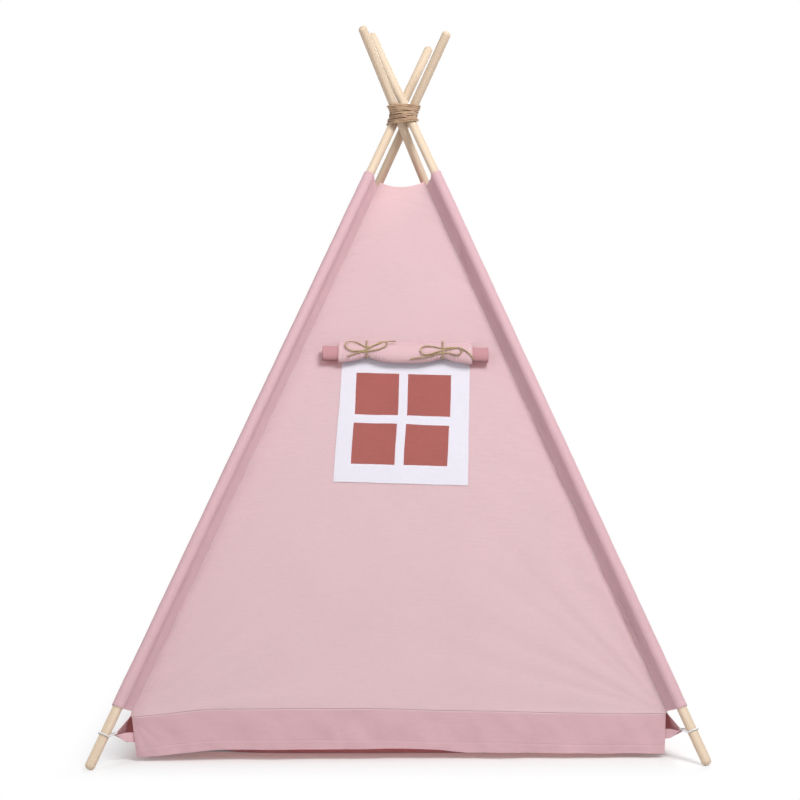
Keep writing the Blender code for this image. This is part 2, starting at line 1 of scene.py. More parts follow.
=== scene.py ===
# Looks for a kids' teepee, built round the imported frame. Metres, +Z up, and the window faces -Y.
import json
import math
import bmesh
import bpy
from mathutils import Matrix, Vector, noise
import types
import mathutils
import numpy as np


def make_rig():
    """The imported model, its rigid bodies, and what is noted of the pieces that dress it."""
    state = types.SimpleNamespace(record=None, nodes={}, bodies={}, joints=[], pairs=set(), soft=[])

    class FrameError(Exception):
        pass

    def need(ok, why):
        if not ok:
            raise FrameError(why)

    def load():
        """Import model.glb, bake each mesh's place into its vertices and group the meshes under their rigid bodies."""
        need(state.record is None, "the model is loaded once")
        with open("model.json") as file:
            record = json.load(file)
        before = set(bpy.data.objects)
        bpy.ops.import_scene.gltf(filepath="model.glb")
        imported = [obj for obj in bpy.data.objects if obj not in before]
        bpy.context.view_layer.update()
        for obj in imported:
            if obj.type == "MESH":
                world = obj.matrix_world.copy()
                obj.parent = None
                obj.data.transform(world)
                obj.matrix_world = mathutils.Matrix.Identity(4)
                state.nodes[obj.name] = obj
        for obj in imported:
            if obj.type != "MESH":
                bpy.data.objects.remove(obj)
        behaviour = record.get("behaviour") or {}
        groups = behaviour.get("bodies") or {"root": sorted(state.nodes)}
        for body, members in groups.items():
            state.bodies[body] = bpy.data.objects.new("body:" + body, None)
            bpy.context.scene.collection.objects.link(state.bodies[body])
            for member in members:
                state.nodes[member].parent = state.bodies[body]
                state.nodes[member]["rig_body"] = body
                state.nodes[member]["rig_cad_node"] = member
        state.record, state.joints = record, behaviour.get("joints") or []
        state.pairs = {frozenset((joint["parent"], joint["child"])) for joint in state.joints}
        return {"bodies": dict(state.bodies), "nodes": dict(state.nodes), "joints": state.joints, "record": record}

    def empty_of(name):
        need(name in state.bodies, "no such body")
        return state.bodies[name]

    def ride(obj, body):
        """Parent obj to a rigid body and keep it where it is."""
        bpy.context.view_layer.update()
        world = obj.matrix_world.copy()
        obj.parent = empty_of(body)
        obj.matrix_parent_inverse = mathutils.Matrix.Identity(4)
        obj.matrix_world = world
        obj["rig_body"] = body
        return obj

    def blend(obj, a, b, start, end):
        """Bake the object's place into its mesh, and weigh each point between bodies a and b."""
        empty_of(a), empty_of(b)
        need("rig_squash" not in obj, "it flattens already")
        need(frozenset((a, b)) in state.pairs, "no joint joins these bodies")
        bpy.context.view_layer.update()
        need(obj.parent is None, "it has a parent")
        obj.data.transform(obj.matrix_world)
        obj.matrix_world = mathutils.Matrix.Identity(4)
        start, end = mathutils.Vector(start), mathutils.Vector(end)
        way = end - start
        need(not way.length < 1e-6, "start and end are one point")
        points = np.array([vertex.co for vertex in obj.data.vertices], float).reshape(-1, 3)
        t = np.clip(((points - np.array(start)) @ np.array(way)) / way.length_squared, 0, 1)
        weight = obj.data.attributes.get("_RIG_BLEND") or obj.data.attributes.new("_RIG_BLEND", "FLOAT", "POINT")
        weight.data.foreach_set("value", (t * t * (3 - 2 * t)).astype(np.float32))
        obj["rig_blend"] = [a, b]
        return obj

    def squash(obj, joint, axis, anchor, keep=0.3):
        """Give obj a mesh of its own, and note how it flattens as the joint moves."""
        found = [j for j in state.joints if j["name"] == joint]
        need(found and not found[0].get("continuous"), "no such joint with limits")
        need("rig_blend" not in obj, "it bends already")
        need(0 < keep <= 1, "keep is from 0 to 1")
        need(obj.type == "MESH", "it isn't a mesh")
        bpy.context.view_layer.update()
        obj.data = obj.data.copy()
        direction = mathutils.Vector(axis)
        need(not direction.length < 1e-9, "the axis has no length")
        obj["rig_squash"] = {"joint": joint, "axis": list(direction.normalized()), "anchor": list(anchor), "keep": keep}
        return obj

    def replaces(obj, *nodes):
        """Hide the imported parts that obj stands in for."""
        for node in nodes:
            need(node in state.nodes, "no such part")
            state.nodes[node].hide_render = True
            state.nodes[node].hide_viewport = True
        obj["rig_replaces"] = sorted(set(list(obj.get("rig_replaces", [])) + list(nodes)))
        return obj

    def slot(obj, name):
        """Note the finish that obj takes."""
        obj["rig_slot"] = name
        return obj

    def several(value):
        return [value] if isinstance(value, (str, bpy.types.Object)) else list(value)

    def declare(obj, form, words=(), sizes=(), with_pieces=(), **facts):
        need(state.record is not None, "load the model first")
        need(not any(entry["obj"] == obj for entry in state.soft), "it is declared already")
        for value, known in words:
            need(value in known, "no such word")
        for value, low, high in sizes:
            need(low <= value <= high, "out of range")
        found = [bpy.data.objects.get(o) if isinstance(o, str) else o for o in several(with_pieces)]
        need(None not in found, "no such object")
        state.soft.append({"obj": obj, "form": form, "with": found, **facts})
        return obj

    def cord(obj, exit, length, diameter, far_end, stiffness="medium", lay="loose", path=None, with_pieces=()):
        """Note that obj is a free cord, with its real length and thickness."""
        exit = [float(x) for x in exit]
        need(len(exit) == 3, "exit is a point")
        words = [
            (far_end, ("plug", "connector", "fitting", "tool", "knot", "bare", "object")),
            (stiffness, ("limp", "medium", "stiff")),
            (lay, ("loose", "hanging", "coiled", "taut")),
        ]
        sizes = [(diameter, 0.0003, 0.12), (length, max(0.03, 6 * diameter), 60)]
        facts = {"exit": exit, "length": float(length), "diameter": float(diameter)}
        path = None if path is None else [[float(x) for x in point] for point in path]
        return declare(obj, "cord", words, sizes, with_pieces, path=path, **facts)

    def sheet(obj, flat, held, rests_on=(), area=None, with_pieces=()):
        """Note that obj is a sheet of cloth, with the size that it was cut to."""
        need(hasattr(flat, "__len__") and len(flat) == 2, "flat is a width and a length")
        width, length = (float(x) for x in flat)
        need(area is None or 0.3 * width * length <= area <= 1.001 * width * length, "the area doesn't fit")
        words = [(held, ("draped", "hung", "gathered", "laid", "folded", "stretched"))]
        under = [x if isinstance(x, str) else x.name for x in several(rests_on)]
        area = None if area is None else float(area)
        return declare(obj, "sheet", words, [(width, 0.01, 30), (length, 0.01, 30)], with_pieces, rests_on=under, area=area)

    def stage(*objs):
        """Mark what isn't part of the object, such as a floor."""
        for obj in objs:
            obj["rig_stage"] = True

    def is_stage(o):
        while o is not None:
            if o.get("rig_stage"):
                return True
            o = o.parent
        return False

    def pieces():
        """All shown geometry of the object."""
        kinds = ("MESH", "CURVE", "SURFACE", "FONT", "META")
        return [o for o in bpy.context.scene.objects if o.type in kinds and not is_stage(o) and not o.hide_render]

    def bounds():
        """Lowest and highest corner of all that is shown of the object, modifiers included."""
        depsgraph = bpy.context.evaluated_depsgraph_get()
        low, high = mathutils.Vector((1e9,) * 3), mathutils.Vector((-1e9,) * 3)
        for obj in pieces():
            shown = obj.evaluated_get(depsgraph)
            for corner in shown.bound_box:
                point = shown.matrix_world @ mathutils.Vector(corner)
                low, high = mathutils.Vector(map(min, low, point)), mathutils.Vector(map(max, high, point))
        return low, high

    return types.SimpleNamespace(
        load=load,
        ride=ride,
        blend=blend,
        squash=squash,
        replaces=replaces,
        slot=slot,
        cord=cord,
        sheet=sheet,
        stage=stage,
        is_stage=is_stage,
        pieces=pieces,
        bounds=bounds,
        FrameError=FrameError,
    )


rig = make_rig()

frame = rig.load()
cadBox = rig.bounds()
print("frame loaded")

# Camera

camera = {"place": (-0.0530, -4.1, 0.8596), "tilt": 87.728, "turn": -0.641, "lens": 81.11, "sensor": 36}


def makeCamera():
    bpy.ops.object.select_all(action="DESELECT")
    turn = (math.radians(camera["tilt"]), 0, math.radians(camera["turn"]))
    bpy.ops.object.camera_add(location=camera["place"], rotation=turn)
    made = bpy.context.object
    made.data.lens = camera["lens"]
    made.data.sensor_width = camera["sensor"]
    bpy.context.scene.camera = made


makeCamera()

# The tent's lines, worked out from the CAD poles. Poles are counted from the window's left one.

tent = {
    "corners": ["window_left", "window_right", "door_right", "door_left"],
    "seamFromPole": 0.037,  # the corner seam runs inside the pole, parallel to it
    "bandSeam": 0.090,  # height of the seam between a wall and its band
    "tops": [1.188, 1.188, 1.166, 1.166],  # height of each corner seam's upper end
    "scoop": 0.012,
    "windowHeight": 0.665,
    "windowShift": -0.003,
    "windowTilt": math.radians(1.7),
    "blindShift": 0.003,
    "blindTilt": math.radians(0.7),
    "pressed": (0.005, 0.60),  # the blind is pressed flat towards the wall: from this far out, by this share
}
alongs = [Vector((1, 0, 0)), Vector((0, 1, 0)), Vector((-1, 0, 0)), Vector((0, -1, 0))]
bodies = ["window_wall", "right_wall", "door_top", "left_wall"]
lashHeight = next(j for j in frame["joints"] if j["name"] == "frame_fold")["pos_m"][2]


def poleAxis(name):
    points = [v.co.copy() for v in frame["nodes"]["pole_" + name].data.vertices]
    height = (max(p.z for p in points) + min(p.z for p in points)) / 2
    halves = [[p for p in points if (p.z > height) == top] for top in (False, True)]
    ends = [sum(half, Vector()) / len(half) for half in halves]
    for _ in range(4):
        # an end's middle is the middle of its reach across the pole
        up = (ends[1] - ends[0]).normalized()
        first = up.orthogonal().normalized()
        for way in (first, up.cross(first)):
            for end, half in zip(ends, halves):
                reach = [p.dot(way) for p in half]
                end += way * ((max(reach) + min(reach)) / 2 - end.dot(way))
    start = ends[0]
    inward = (Vector((0, 0, -1)) + up * up.z).normalized()
    reach = [(p - start).dot(up) for p in points]
    return {
        "foot": start + up * min(reach),
        "up": up,
        "inward": inward,
        "across": up.cross(inward),
        "length": max(reach) - min(reach),
        "radius": max((p - start - up * (p - start).dot(up)).length for p in points),
    }


poles = [poleAxis(name) for name in tent["corners"]]


def onPole(k, height):
    pole = poles[k % 4]
    return pole["foot"] + pole["up"] * ((height - pole["foot"].z) / pole["up"].z)


def seamAt(k, height):
    pole = poles[k % 4]
    start = pole["foot"] + pole["inward"] * tent["seamFromPole"]
    return start + pole["up"] * ((height - start.z) / pole["up"].z)


def wallOut(k):
    low = seamAt(k, tent["bandSeam"]) + seamAt(k + 1, tent["bandSeam"])
    high = seamAt(k, tent["tops"][2]) + seamAt(k + 1, tent["tops"][2])
    return alongs[k].cross(high - low).normalized()


# Each wall lies flat as (x, y): x along it from the middle, y up the slope from the band's seam
walls = []
for k in range(4):
    out = wallOut(k)
    walls.append({
        "out": out,
        "rise": math.sqrt(1 - out.z ** 2),  # height for each metre of slope
        "ends": [[seamAt(k + n, h).dot(alongs[k]) for n in (0, 1)] for h in (0.0, 1.0)],
    })


def edgesAt(k, y):
    wall = walls[k]
    height = tent["bandSeam"] + y * wall["rise"]
    return [wall["ends"][0][n] + (wall["ends"][1][n] - wall["ends"][0][n]) * height for n in (0, 1)]


def topAt(k, share):
    first, second = tent["tops"][k], tent["tops"][(k + 1) % 4]
    height = first + (second - first) * share - 4 * tent["scoop"] * share * (1 - share)
    return (height - tent["bandSeam"]) / walls[k]["rise"]


def onWall(k, x, y, out=0.0):
    height = tent["bandSeam"] + y * walls[k]["rise"]
    first, second = seamAt(k, height), seamAt(k + 1, height)
    share = (x - first.dot(alongs[k])) / (second - first).dot(alongs[k])
    return first.lerp(second, share) + walls[k]["out"] * out


windowMiddle = (tent["windowHeight"] - tent["bandSeam"]) / walls[0]["rise"]


def windowToFlat(a, b, tilt=tent["windowTilt"]):
    x = tent["windowShift"] + a * math.cos(tilt) + b * math.sin(tilt)
    return x, windowMiddle + b * math.cos(tilt) - a * math.sin(tilt)


def flatToWindow(x, y):
    tilt = tent["windowTilt"]
    x, y = x - tent["windowShift"], y - windowMiddle
    return x * math.cos(tilt) - y * math.sin(tilt), x * math.sin(tilt) + y * math.cos(tilt)


def blindPoint(a, b, out):
    x, y = windowToFlat(tent["blindShift"] + a, b, tent["blindTilt"])
    start, share = tent["pressed"]
    return onWall(0, x, y, out if out < start else start + (out - start) * share)


print("tent lines: poles", [round(p["length"], 3) for p in poles])

# Shader maths: a socket that can be added, multiplied and so on


class Wire:
    def __init__(self, finish, socket):
        self.finish = finish
        self.socket = socket

    def math(self, operation, *others):
        inputs = {0: self}
        inputs.update({n + 1: other for n, other in enumerate(others)})
        return self.finish.node("Math", {"operation": operation}, inputs)

    def __add__(self, other):
        return self.math("ADD", other)

    def __radd__(self, other):
        return self.math("ADD", other)

    def __mul__(self, other):
        return self.math("MULTIPLY", other)

    def __rmul__(self, other):
        return self.math("MULTIPLY", other)

    def __sub__(self, other):
        return self.math("SUBTRACT", other)

    def __rsub__(self, other):
        return (self * -1).math("ADD", other)

    def __truediv__(self, other):
        return self.math("DIVIDE", other)

    def __abs__(self):
        return self.math("ABSOLUTE")

    def between(self, low, high):
        # 0 below low, 1 above high, and smooth from one to the other
        settings = {"interpolation_type": "SMOOTHSTEP"}
        return self.finish.node("MapRange", settings, {0: self, 1: low, 2: high})


class Finish:
    def __init__(self, name, roughness):
        self.material = bpy.data.materials.new(name)
        self.material.use_nodes = True
        self.tree = self.material.node_tree
        self.shader = self.tree.nodes["Principled BSDF"]
        self.shader.inputs["Roughness"].default_value = roughness
        self.shader.inputs["Specular IOR Level"].default_value = 0.25

    def node(self, kind, settings=None, inputs=None, output=0):
        made = self.tree.nodes.new("ShaderNode" + kind)
        for key, value in (settings or {}).items():
            setattr(made, key, value)
        for key, value in (inputs or {}).items():
            self.put(made.inputs[key], value)
        return Wire(self, made.outputs[output])

    def put(self, socket, value):
        if isinstance(value, Wire):
            self.tree.links.new(value.socket, socket)
        else:
            socket.default_value = value

    def split(self, vector, count=3):
        return [self.node("SeparateXYZ", inputs={0: vector}, output=n) for n in range(count)]

    def flat(self):
        # the piece's own cloth coordinates, in metres
        uv = self.node("UVMap", {"uv_map": "flat"})
        return uv, *self.split(uv, 2)

    def join(self, x, y, z=0.0):
        return self.node("CombineXYZ", inputs={0: x, 1: y, 2: z})

    def noise(self, vector, scale=1.0, detail=2.0, roughness=0.5):
        settings = {"Vector": vector, "Scale": scale, "Detail": detail, "Roughness": roughness}
        return self.node("TexNoise", inputs=settings)

    def mix(self, factor, first, second):
        return self.node("Mix", {"data_type": "RGBA"}, {0: factor, 6: first, 7: second}, 2)

    def bump(self, height, distance):
        normal = self.node("Bump", inputs={"Height": height, "Distance": distance, "Strength": 1.0})
        self.put(self.shader.inputs["Normal"], normal)

    def paint(self, colour):
        self.put(self.shader.inputs["Base Color"], colour)

    def roughen(self, value):
        self.put(self.shader.inputs["Roughness"], value)

    def surface(self, shader):
        self.put(self.tree.nodes["Material Output"].inputs["Surface"], shader)


def shade(colour, factor):
    return (*[c * factor for c in colour[:3]], 1)


# Finishes

cotton = {
    "pink": (0.885, 0.705, 0.75, 1),
    "deep": (0.71, 0.46, 0.50, 1),  # the same cloth where nothing behind it shines through
    "mat": (0.74, 0.47, 0.51, 1),
    # the roll is the pink cotton made darker and redder: painted shade for its rolled ends, which lie in shade
    "blind": (0.52, 0.26, 0.285, 1),
    "blindOver": (0.66, 0.44, 0.465, 1),
    "white": (0.79, 0.765, 0.845, 1),
    "thread": (1.0, 0.88, 0.90, 1),
    "glow": (1.0, 0.635, 0.60, 1),  # light that has come through the pink cloth
    "wall": (0.38, 0.90),  # share of light let through by the outer face, and passed on by the inner one
    "band": (0.10, 0.45),
    "sleeve": (0.10, 0.40),
    "frame": (0.10, 0.10),
    "opaque": (0, 0),
    "threadPitch": 0.00055,
    "stitch": 0.0034,
    "stitchWidth": 0.0005,
    "grooveWidth": 0.0028,
    "bump": 0.0006,
}


def stitchRow(finish, x, y, row):
    # a straight row of stitches from one point of the flat cloth to another, as (thread, groove)
    (startX, startY), (endX, endY) = row[:2]
    length = math.hypot(endX - startX, endY - startY)
    wayX, wayY = (endX - startX) / length, (endY - startY) / length
    along = x * wayX + y * wayY - (startX * wayX + startY * wayY)
    across = abs(y * wayX - x * wayY - (startY * wayX - startX * wayY))
    inside = along.between(0.0, 0.0005) * (1 - along.between(length - 0.0005, length))
    dash = abs((along / cotton["stitch"]).math("FRACT") - 0.5)
    width = cotton["stitchWidth"]
    thread = (1 - across.between(width * 0.6, width * 1.4)) * (1 - dash.between(0.34, 0.42))
    groove = 1 - across.between(0.0, cotton["grooveWidth"])
    strength = row[2] if len(row) > 2 else 0.45
    return thread * inside * strength, groove * inside


def cottonFinish(name, colour, rows=(), passes="wall", crumple=1.0):
    finish = Finish(name, 0.92)
    uv, x, y = finish.flat()
    pitch = cotton["threadPitch"]
    warp = (x * (math.pi / pitch)).math("SINE")
    weft = (y * (math.pi / pitch)).math("SINE")
    weave = warp * weft
    slub = finish.noise(finish.join(x * 60, y * 900), 1, 2)
    slub = slub + finish.noise(finish.join(x * 900, y * 60, 4.0), 1, 2)
    cloudy = finish.noise(uv, 9, 3)
    fine = finish.noise(uv, 120, 4, 0.6)
    streaks = finish.noise(finish.join(x * 26, y * 240, 7.0), 1, 2)
    tone = (slub - 1.0) * 0.22 + (cloudy - 0.5) * 0.14 + (fine - 0.5) * 0.14
    tone = tone + (streaks - 0.5) * 0.24 + weave * 0.04
    level = (tone + 0.5).between(0.0, 1.0)
    colours = finish.mix(level, shade(colour, 0.90), shade(colour, 1.08))
    creases = finish.noise(uv, 38, 3, 0.55)
    height = weave * 0.10 + slub * 0.10 + creases * (0.9 * crumple) + fine * 0.15
    threads = None
    for row in rows:
        thread, groove = stitchRow(finish, x, y, row)
        height = height + thread * 0.7 - groove * 0.5
        threads = thread if threads is None else threads.math("MAXIMUM", thread)
    if threads is not None:
        colours = finish.mix(threads, colours, cotton["thread"])
    finish.paint(colours)
    finish.roughen(0.86 + (slub - 1.0) * 0.1)
    finish.bump(height, cotton["bump"])
    finish.shader.inputs["Sheen Weight"].default_value = 0.15
    finish.shader.inputs["Sheen Roughness"].default_value = 0.45
    outer, inner = cotton[passes]
    if outer:
        glow = cotton["white"] if passes == "frame" else cotton["glow"]
        inside = finish.node("Attribute", {"attribute_name": "inside"}, output="Fac")
        through = finish.node("BsdfTranslucent", inputs={0: finish.mix(level, shade(glow, 0.72), glow)})
        principled = Wire(finish, finish.shader.outputs[0])
        share = inside * (inner - outer) + outer
        both = finish.node("MixShader", inputs={0: share, 1: principled, 2: through})
        finish.surface(both)
    return finish.material


wood = {
    "pale": (0.75, 0.61, 0.465, 1),
    "dark": (0.61, 0.465, 0.34, 1),
    "end": (0.64, 0.50, 0.37, 1),
    "endFade": (0.006, 0.018),  # the grain fades between these distances from an end
    "cuts": 45,  # lengths that each pole's faces are cut into
}


def woodFinish(name, pole, seed):
    finish = Finish(name, 0.52)
    turn = pole["up"].to_track_quat("Z", "Y").to_euler()
    # z runs up the pole from its foot
    place = finish.node("TexCoord", output="Object")
    placing = {"Vector": place, "Location": pole["foot"], "Rotation": turn}
    x, y, z = finish.split(finish.node("Mapping", {"vector_type": "TEXTURE"}, placing))
    drift = finish.noise(finish.join(x * 20, y * 20, z * 1.5 + seed), 1, 2)
    grain = finish.noise(finish.join(x * 260, y * 260, z * 2.4 + seed), 1, 3, 0.6)
    fibre = finish.noise(finish.join(x * 900, y * 900, z * 7 + seed), 1, 2)
    rings = ((x * 420 + drift * 9 + seed).math("SINE") + 1) * 0.5
    mark = (drift - 0.5) * 0.8 + (grain - 0.5) * 0.9 + (fibre - 0.5) * 0.5 + rings * 0.22
    near, far = wood["endFade"]
    top = z.between(pole["length"] - far, pole["length"] - near)
    ends = (1 - z.between(near, far)).math("MAXIMUM", top)
    colours = finish.mix((mark * (1 - ends * 0.8) + 0.35).between(0.0, 1.0), wood["pale"], wood["dark"])
    finish.paint(finish.mix(ends * 0.5, colours, wood["end"]))
    finish.roughen(0.50 + (fibre - 0.5) * 0.25)
    finish.bump((grain * 0.5 + fibre * 0.5) * (1 - ends), 0.00012)
    return finish.material


jute = {"pale": (0.62, 0.43, 0.29, 1), "dark": (0.34, 0.21, 0.12, 1)}
oldJute = {"pale": (0.50, 0.375, 0.205, 1), "dark": (0.27, 0.175, 0.085, 1)}


def juteFinish(name, jute=jute):
    finish = Finish(name, 0.95)
    uv, x, y = finish.flat()
    place = finish.node("TexCoord", output="Object")
    fibre = finish.noise(finish.join(x * 2600 + y * 900, y * 260), 1, 3, 0.65)
    patch = finish.noise(place, 60, 3)
    tone = (fibre - 0.5) * 1.5 + (patch - 0.5) * 1.3 + 0.45
    finish.paint(finish.mix(tone.between(0.0, 1.0), jute["pale"], jute["dark"]))
    finish.bump(fibre, 0.0004)
    finish.shader.inputs["Sheen Weight"].default_value = 0.2
    return finish.material


def elasticFinish(name):
    finish = Finish(name, 0.75)
    uv, x, y = finish.flat()
    rib = ((y * 4200 + x * 2200).math("SINE") + (y * 4200 - x * 2200).math("SINE")) * 0.25 + 0.5
    patch = finish.noise(uv, 200, 2)
    # the elastic is white: the grey where the rib runs low is painted shade in its troughs, with patches of random tone
    finish.paint(finish.mix(rib * 0.6 + patch * 0.3, (0.62, 0.62, 0.62, 1), (0.90, 0.90, 0.90, 1)))
    finish.bump(rib, 0.0003)
    return finish.material


# Ways to make a piece


def makeGrid(name, columns, rows, pattern, place, cut=None):
    # a grid cut to its flat pattern, which stays on it as UVs, and then put in place
    bpy.ops.object.select_all(action="DESELECT")
    bpy.ops.mesh.primitive_grid_add(x_subdivisions=columns, y_subdivisions=rows, size=1)
    piece = bpy.context.object
    piece.name = name
    piece.data.name = name
    for vert in piece.data.vertices:
        vert.co = (*pattern(vert.co.x + 0.5, vert.co.y + 0.5), 0)
    if cut:
        cut(piece)
    layer = piece.data.uv_layers.active
    layer.name = "flat"
    for loop in piece.data.loops:
        layer.data[loop.index].uv = piece.data.vertices[loop.vertex_index].co.xy
    for vert in piece.data.vertices:
        vert.co = place(vert.co.x, vert.co.y)
    piece.data.update()
    return piece


def editAll(piece):
    bpy.ops.object.select_all(action="DESELECT")
    piece.select_set(True)
    bpy.context.view_layer.objects.active = piece
    bpy.ops.object.mode_set(mode="EDIT")
    bpy.ops.mesh.select_all(action="SELECT")


def leaveEdit():
    bpy.ops.object.mode_set(mode="OBJECT")


def thicken(piece, thickness, offset=0.0, middle=lambda point: Vector((0, 0, point.z))):
    # gives the cloth its thickness, and marks the faces that look in towards the middle
    solid = piece.modifiers.new("cloth", "SOLIDIFY")
    solid.thickness = thickness
    solid.offset = offset
    bpy.context.view_layer.objects.active = piece
    bpy.ops.object.modifier_apply(modifier=solid.name)
    mark = piece.data.attributes.new("inside", "FLOAT", "FACE")
    for face, value in zip(piece.data.polygons, mark.data):
        value.value = 1.0 if face.normal.dot(face.center - middle(face.center)) < 0 else 0.0


def smooth(piece, angle=50):
    bpy.ops.object.select_all(action="DESELECT")
    piece.select_set(True)
    bpy.context.view_layer.objects.active = piece
    bpy.ops.object.shade_smooth_by_angle(angle=math.radians(angle))


def weld(piece, threshold, fill=False):
    # joins a rolled grid along the edges that meet, and may fill the tube's two ends
    editAll(piece)
    bpy.ops.mesh.remove_doubles(threshold=threshold)
    if fill:
        bpy.ops.mesh.select_all(action="DESELECT")
        bpy.ops.mesh.select_non_manifold(extend=False)
        bpy.ops.mesh.edge_face_add()
        bpy.ops.mesh.select_all(action="SELECT")
    bpy.ops.mesh.normals_make_consistent(inside=False)
    leaveEdit()


def cutFaces(piece, isOpen):
    # takes out the faces whose middle lies in an opening
    mesh = bmesh.new()
    mesh.from_mesh(piece.data)
    inside = [face for face in mesh.faces if isOpen(*face.calc_center_median().xy)]
    bmesh.ops.delete(mesh, geom=inside, context="FACES")
    mesh.to_mesh(piece.data)
    mesh.free()


def cornerName(kind, k):
    return kind + "".join(word.title() for word in tent["corners"][k].split("_"))


def finishPiece(piece, material, slot, body, nodes=(), angle=50):
    piece.data.materials.clear()
    piece.data.materials.append(material)
    smooth(piece, angle)
    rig.slot(piece, slot)
    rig.ride(piece, body)
    if nodes:
        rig.replaces(piece, *nodes)


def ripple(x, y, layer):
    return noise.noise(Vector((x, y, layer)))


def fade(value, low, high):
    share = min(1.0, max(0.0, (value - low) / (high - low)))
    return share * share * (3 - 2 * share)


# The cover's relief: soft waves between the seams, short pulls along them, folds out of the lower corners

relief = {
    "soft": 0.0075,
    "mild": 0.0040,
    "pull": 0.0032,
    "pullReach": 0.040,
    "fan": 0.0036,
    "fanReach": 0.16,
    "windowHalf": (0.175, 0.21),
}


def reliefAt(k, x, y):
    left, right = edgesAt(k, y)
    sides = (max(0.0, x - left), max(0.0, right - x))
    free = (1 - math.exp(-sides[0] / 0.07)) * (1 - math.exp(-sides[1] / 0.07))
    if k == 0:
        a, b = flatToWindow(x, y)
        across, upward = relief["windowHalf"]
        off = math.hypot(max(0, abs(a) - across), max(0, abs(b) - upward))
        free *= 0.12 + 0.88 * fade(off, 0, 0.15)
    total = free * relief["soft"] * (0.55 + 0.8 * ripple(x * 2.7, y * 1.8, 2.3 + 3.1 * k))
    total += free * relief["mild"] * ripple(x * 8, y * 5, 9.2 + k)
    for near, side in zip(sides, (1, -1)):
        slant = y - 0.4 * near
        pull = ripple(slant * 33, near * 6, 5.7 * side + k) + 0.5 * ripple(slant * 71, near * 9, 1.9 * side + k)
        total += relief["pull"] * math.exp(-near / relief["pullReach"]) * pull
        reach = math.hypot(near, y)
        turn = math.atan2(y, near + 0.0001)
        swell = reach / relief["fanReach"] * math.exp(1 - reach / relief["fanReach"])
        total += relief["fan"] * swell * ripple(turn * 8.5, side * 2.2, 4.4 + k)
    return total


cover = {"cloth": 0.0010, "cell": 0.0066, "inset": 0.0010, "stitchIn": 0.0035, "tuck": 0.0011}


def seamRise(k, share):
    # the band's seam bows up, most at the window wall's left
    if k == 0:
        return 0.0125 * fade(share, 0, 0.17) * (1 - fade(share, 0.35, 0.95))
    return 0.005 * fade(share, 0, 0.2) * (1 - fade(share, 0.8, 1)) * (1 + ripple(share * 4, k, 3))


def wallPattern(k, low=0.0, high=None):
    # the flat cut of a wall between two heights; high None is the scooped top
    def pattern(u, v):
        top = topAt(k, u) if high is None else high
        y = low + (top - low) * v
        left, right = edgesAt(k, y)
        left, right = left + cover["inset"], right - cover["inset"]
        return left + (right - left) * u, y

    return pattern


def edgeRows(k, low, high, stitchIn):
    # stitch rows beside the two corner seams
    rows = []
    for n, step in ((0, 1), (1, -1)):
        ends = [(edgesAt(k, y)[n] + step * stitchIn, y) for y in (low, high)]
        rows.append((*ends, 0.95))
    return rows


def wallCells(k, low, high):
    left, right = edgesAt(k, low)
    return int((right - left) / cover["cell"]), int((high - low) / cover["cell"])


hole = {"halfWidth": 0.1095, "halfHeight": 0.1135}


def cutWindow(piece):
    tilt = tent["windowTilt"]
    ways = ((Vector((math.cos(tilt), -math.sin(tilt), 0)), hole["halfWidth"]),
            (Vector((math.sin(tilt), math.cos(tilt), 0)), hole["halfHeight"]))
    middle = Vector((tent["windowShift"], windowMiddle, 0))
    for way, half in ways:
        for side in (-1, 1):
            editAll(piece)
            bpy.ops.mesh.bisect(plane_co=middle + way * (side * half), plane_no=way)
            leaveEdit()

    def isOpen(x, y):
        a, b = flatToWindow(x, y)
        return abs(a) < hole["halfWidth"] and abs(b) < hole["halfHeight"]

    cutFaces(piece, isOpen)


def flatArea(piece):
    # area of the cut, from its flat coordinates
    layer = piece.data.uv_layers["flat"]
    total = 0.0
    for face in piece.data.polygons:
        points = [layer.data[n].uv for n in face.loop_indices]
        total += abs(sum(p.x * q.y - q.x * p.y for p, q in zip(points, points[1:] + points[:1]))) / 2
    return total


carries = {  # what the cloth of each body hangs on
    "window_wall": ["pole_window_left", "pole_window_right"],
    "right_wall": ["pole_window_right", "pole_door_right"],
    "door_top": ["pole_door_right", "pole_door_left"],
    "left_wall": ["pole_door_left", "pole_window_left"],
    "curtain_right": ["pole_door_right"],
    "curtain_left": ["pole_door_left"],
    "blind": ["window_wall"],
}


def hang(piece, material, slot, body, nodes, flat, held, area, squash):
    finishPiece(piece, material, slot, body, nodes)
    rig.sheet(piece, flat=flat, held=held, area=area, rests_on=carries[body])
    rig.squash(piece, "frame_fold", **squash)


squashX = {"axis": (1, 0, 0), "anchor": (-0.012, 0, 0), "keep": 0.15}
squashY = {"axis": (0, 1, 0), "anchor": (0, 0, 0), "keep": 0.15}
squashes = [squashX, squashY, squashX, squashY]


def hangWall(k, x, y, out=0.0):
    left, right = edgesAt(k, y)
    y += seamRise(k, (x - left) / (right - left)) * (1 - fade(y, 0, 0.22))
    return onWall(k, x, y, reliefAt(k, x, y) + out)


def makeWall(k, name, node, cut=None):
    top = topAt(k, 0.5) + 0.01
    columns, rows = wallCells(k, 0, top)
    piece = makeGrid(name, columns, rows, wallPattern(k), lambda x, y: hangWall(k, x, y), cut)
    area = flatArea(piece)
    thicken(piece, cover["cloth"])
    stitches = edgeRows(k, 0, top, cover["stitchIn"])
    left, right = edgesAt(k, 0)
    material = cottonFinish(name + "Cotton", cotton["pink"], stitches)
    hang(piece, material, "pink_cotton", bodies[k], [node],
         (right - left, top), "stretched", area, squashes[k])


makeWall(0, "windowWall", "window_wall", cutWindow)
makeWall(1, "rightWall", "right_wall")
makeWall(3, "leftWall", "left_wall")
print("walls done")

# Bands below the walls

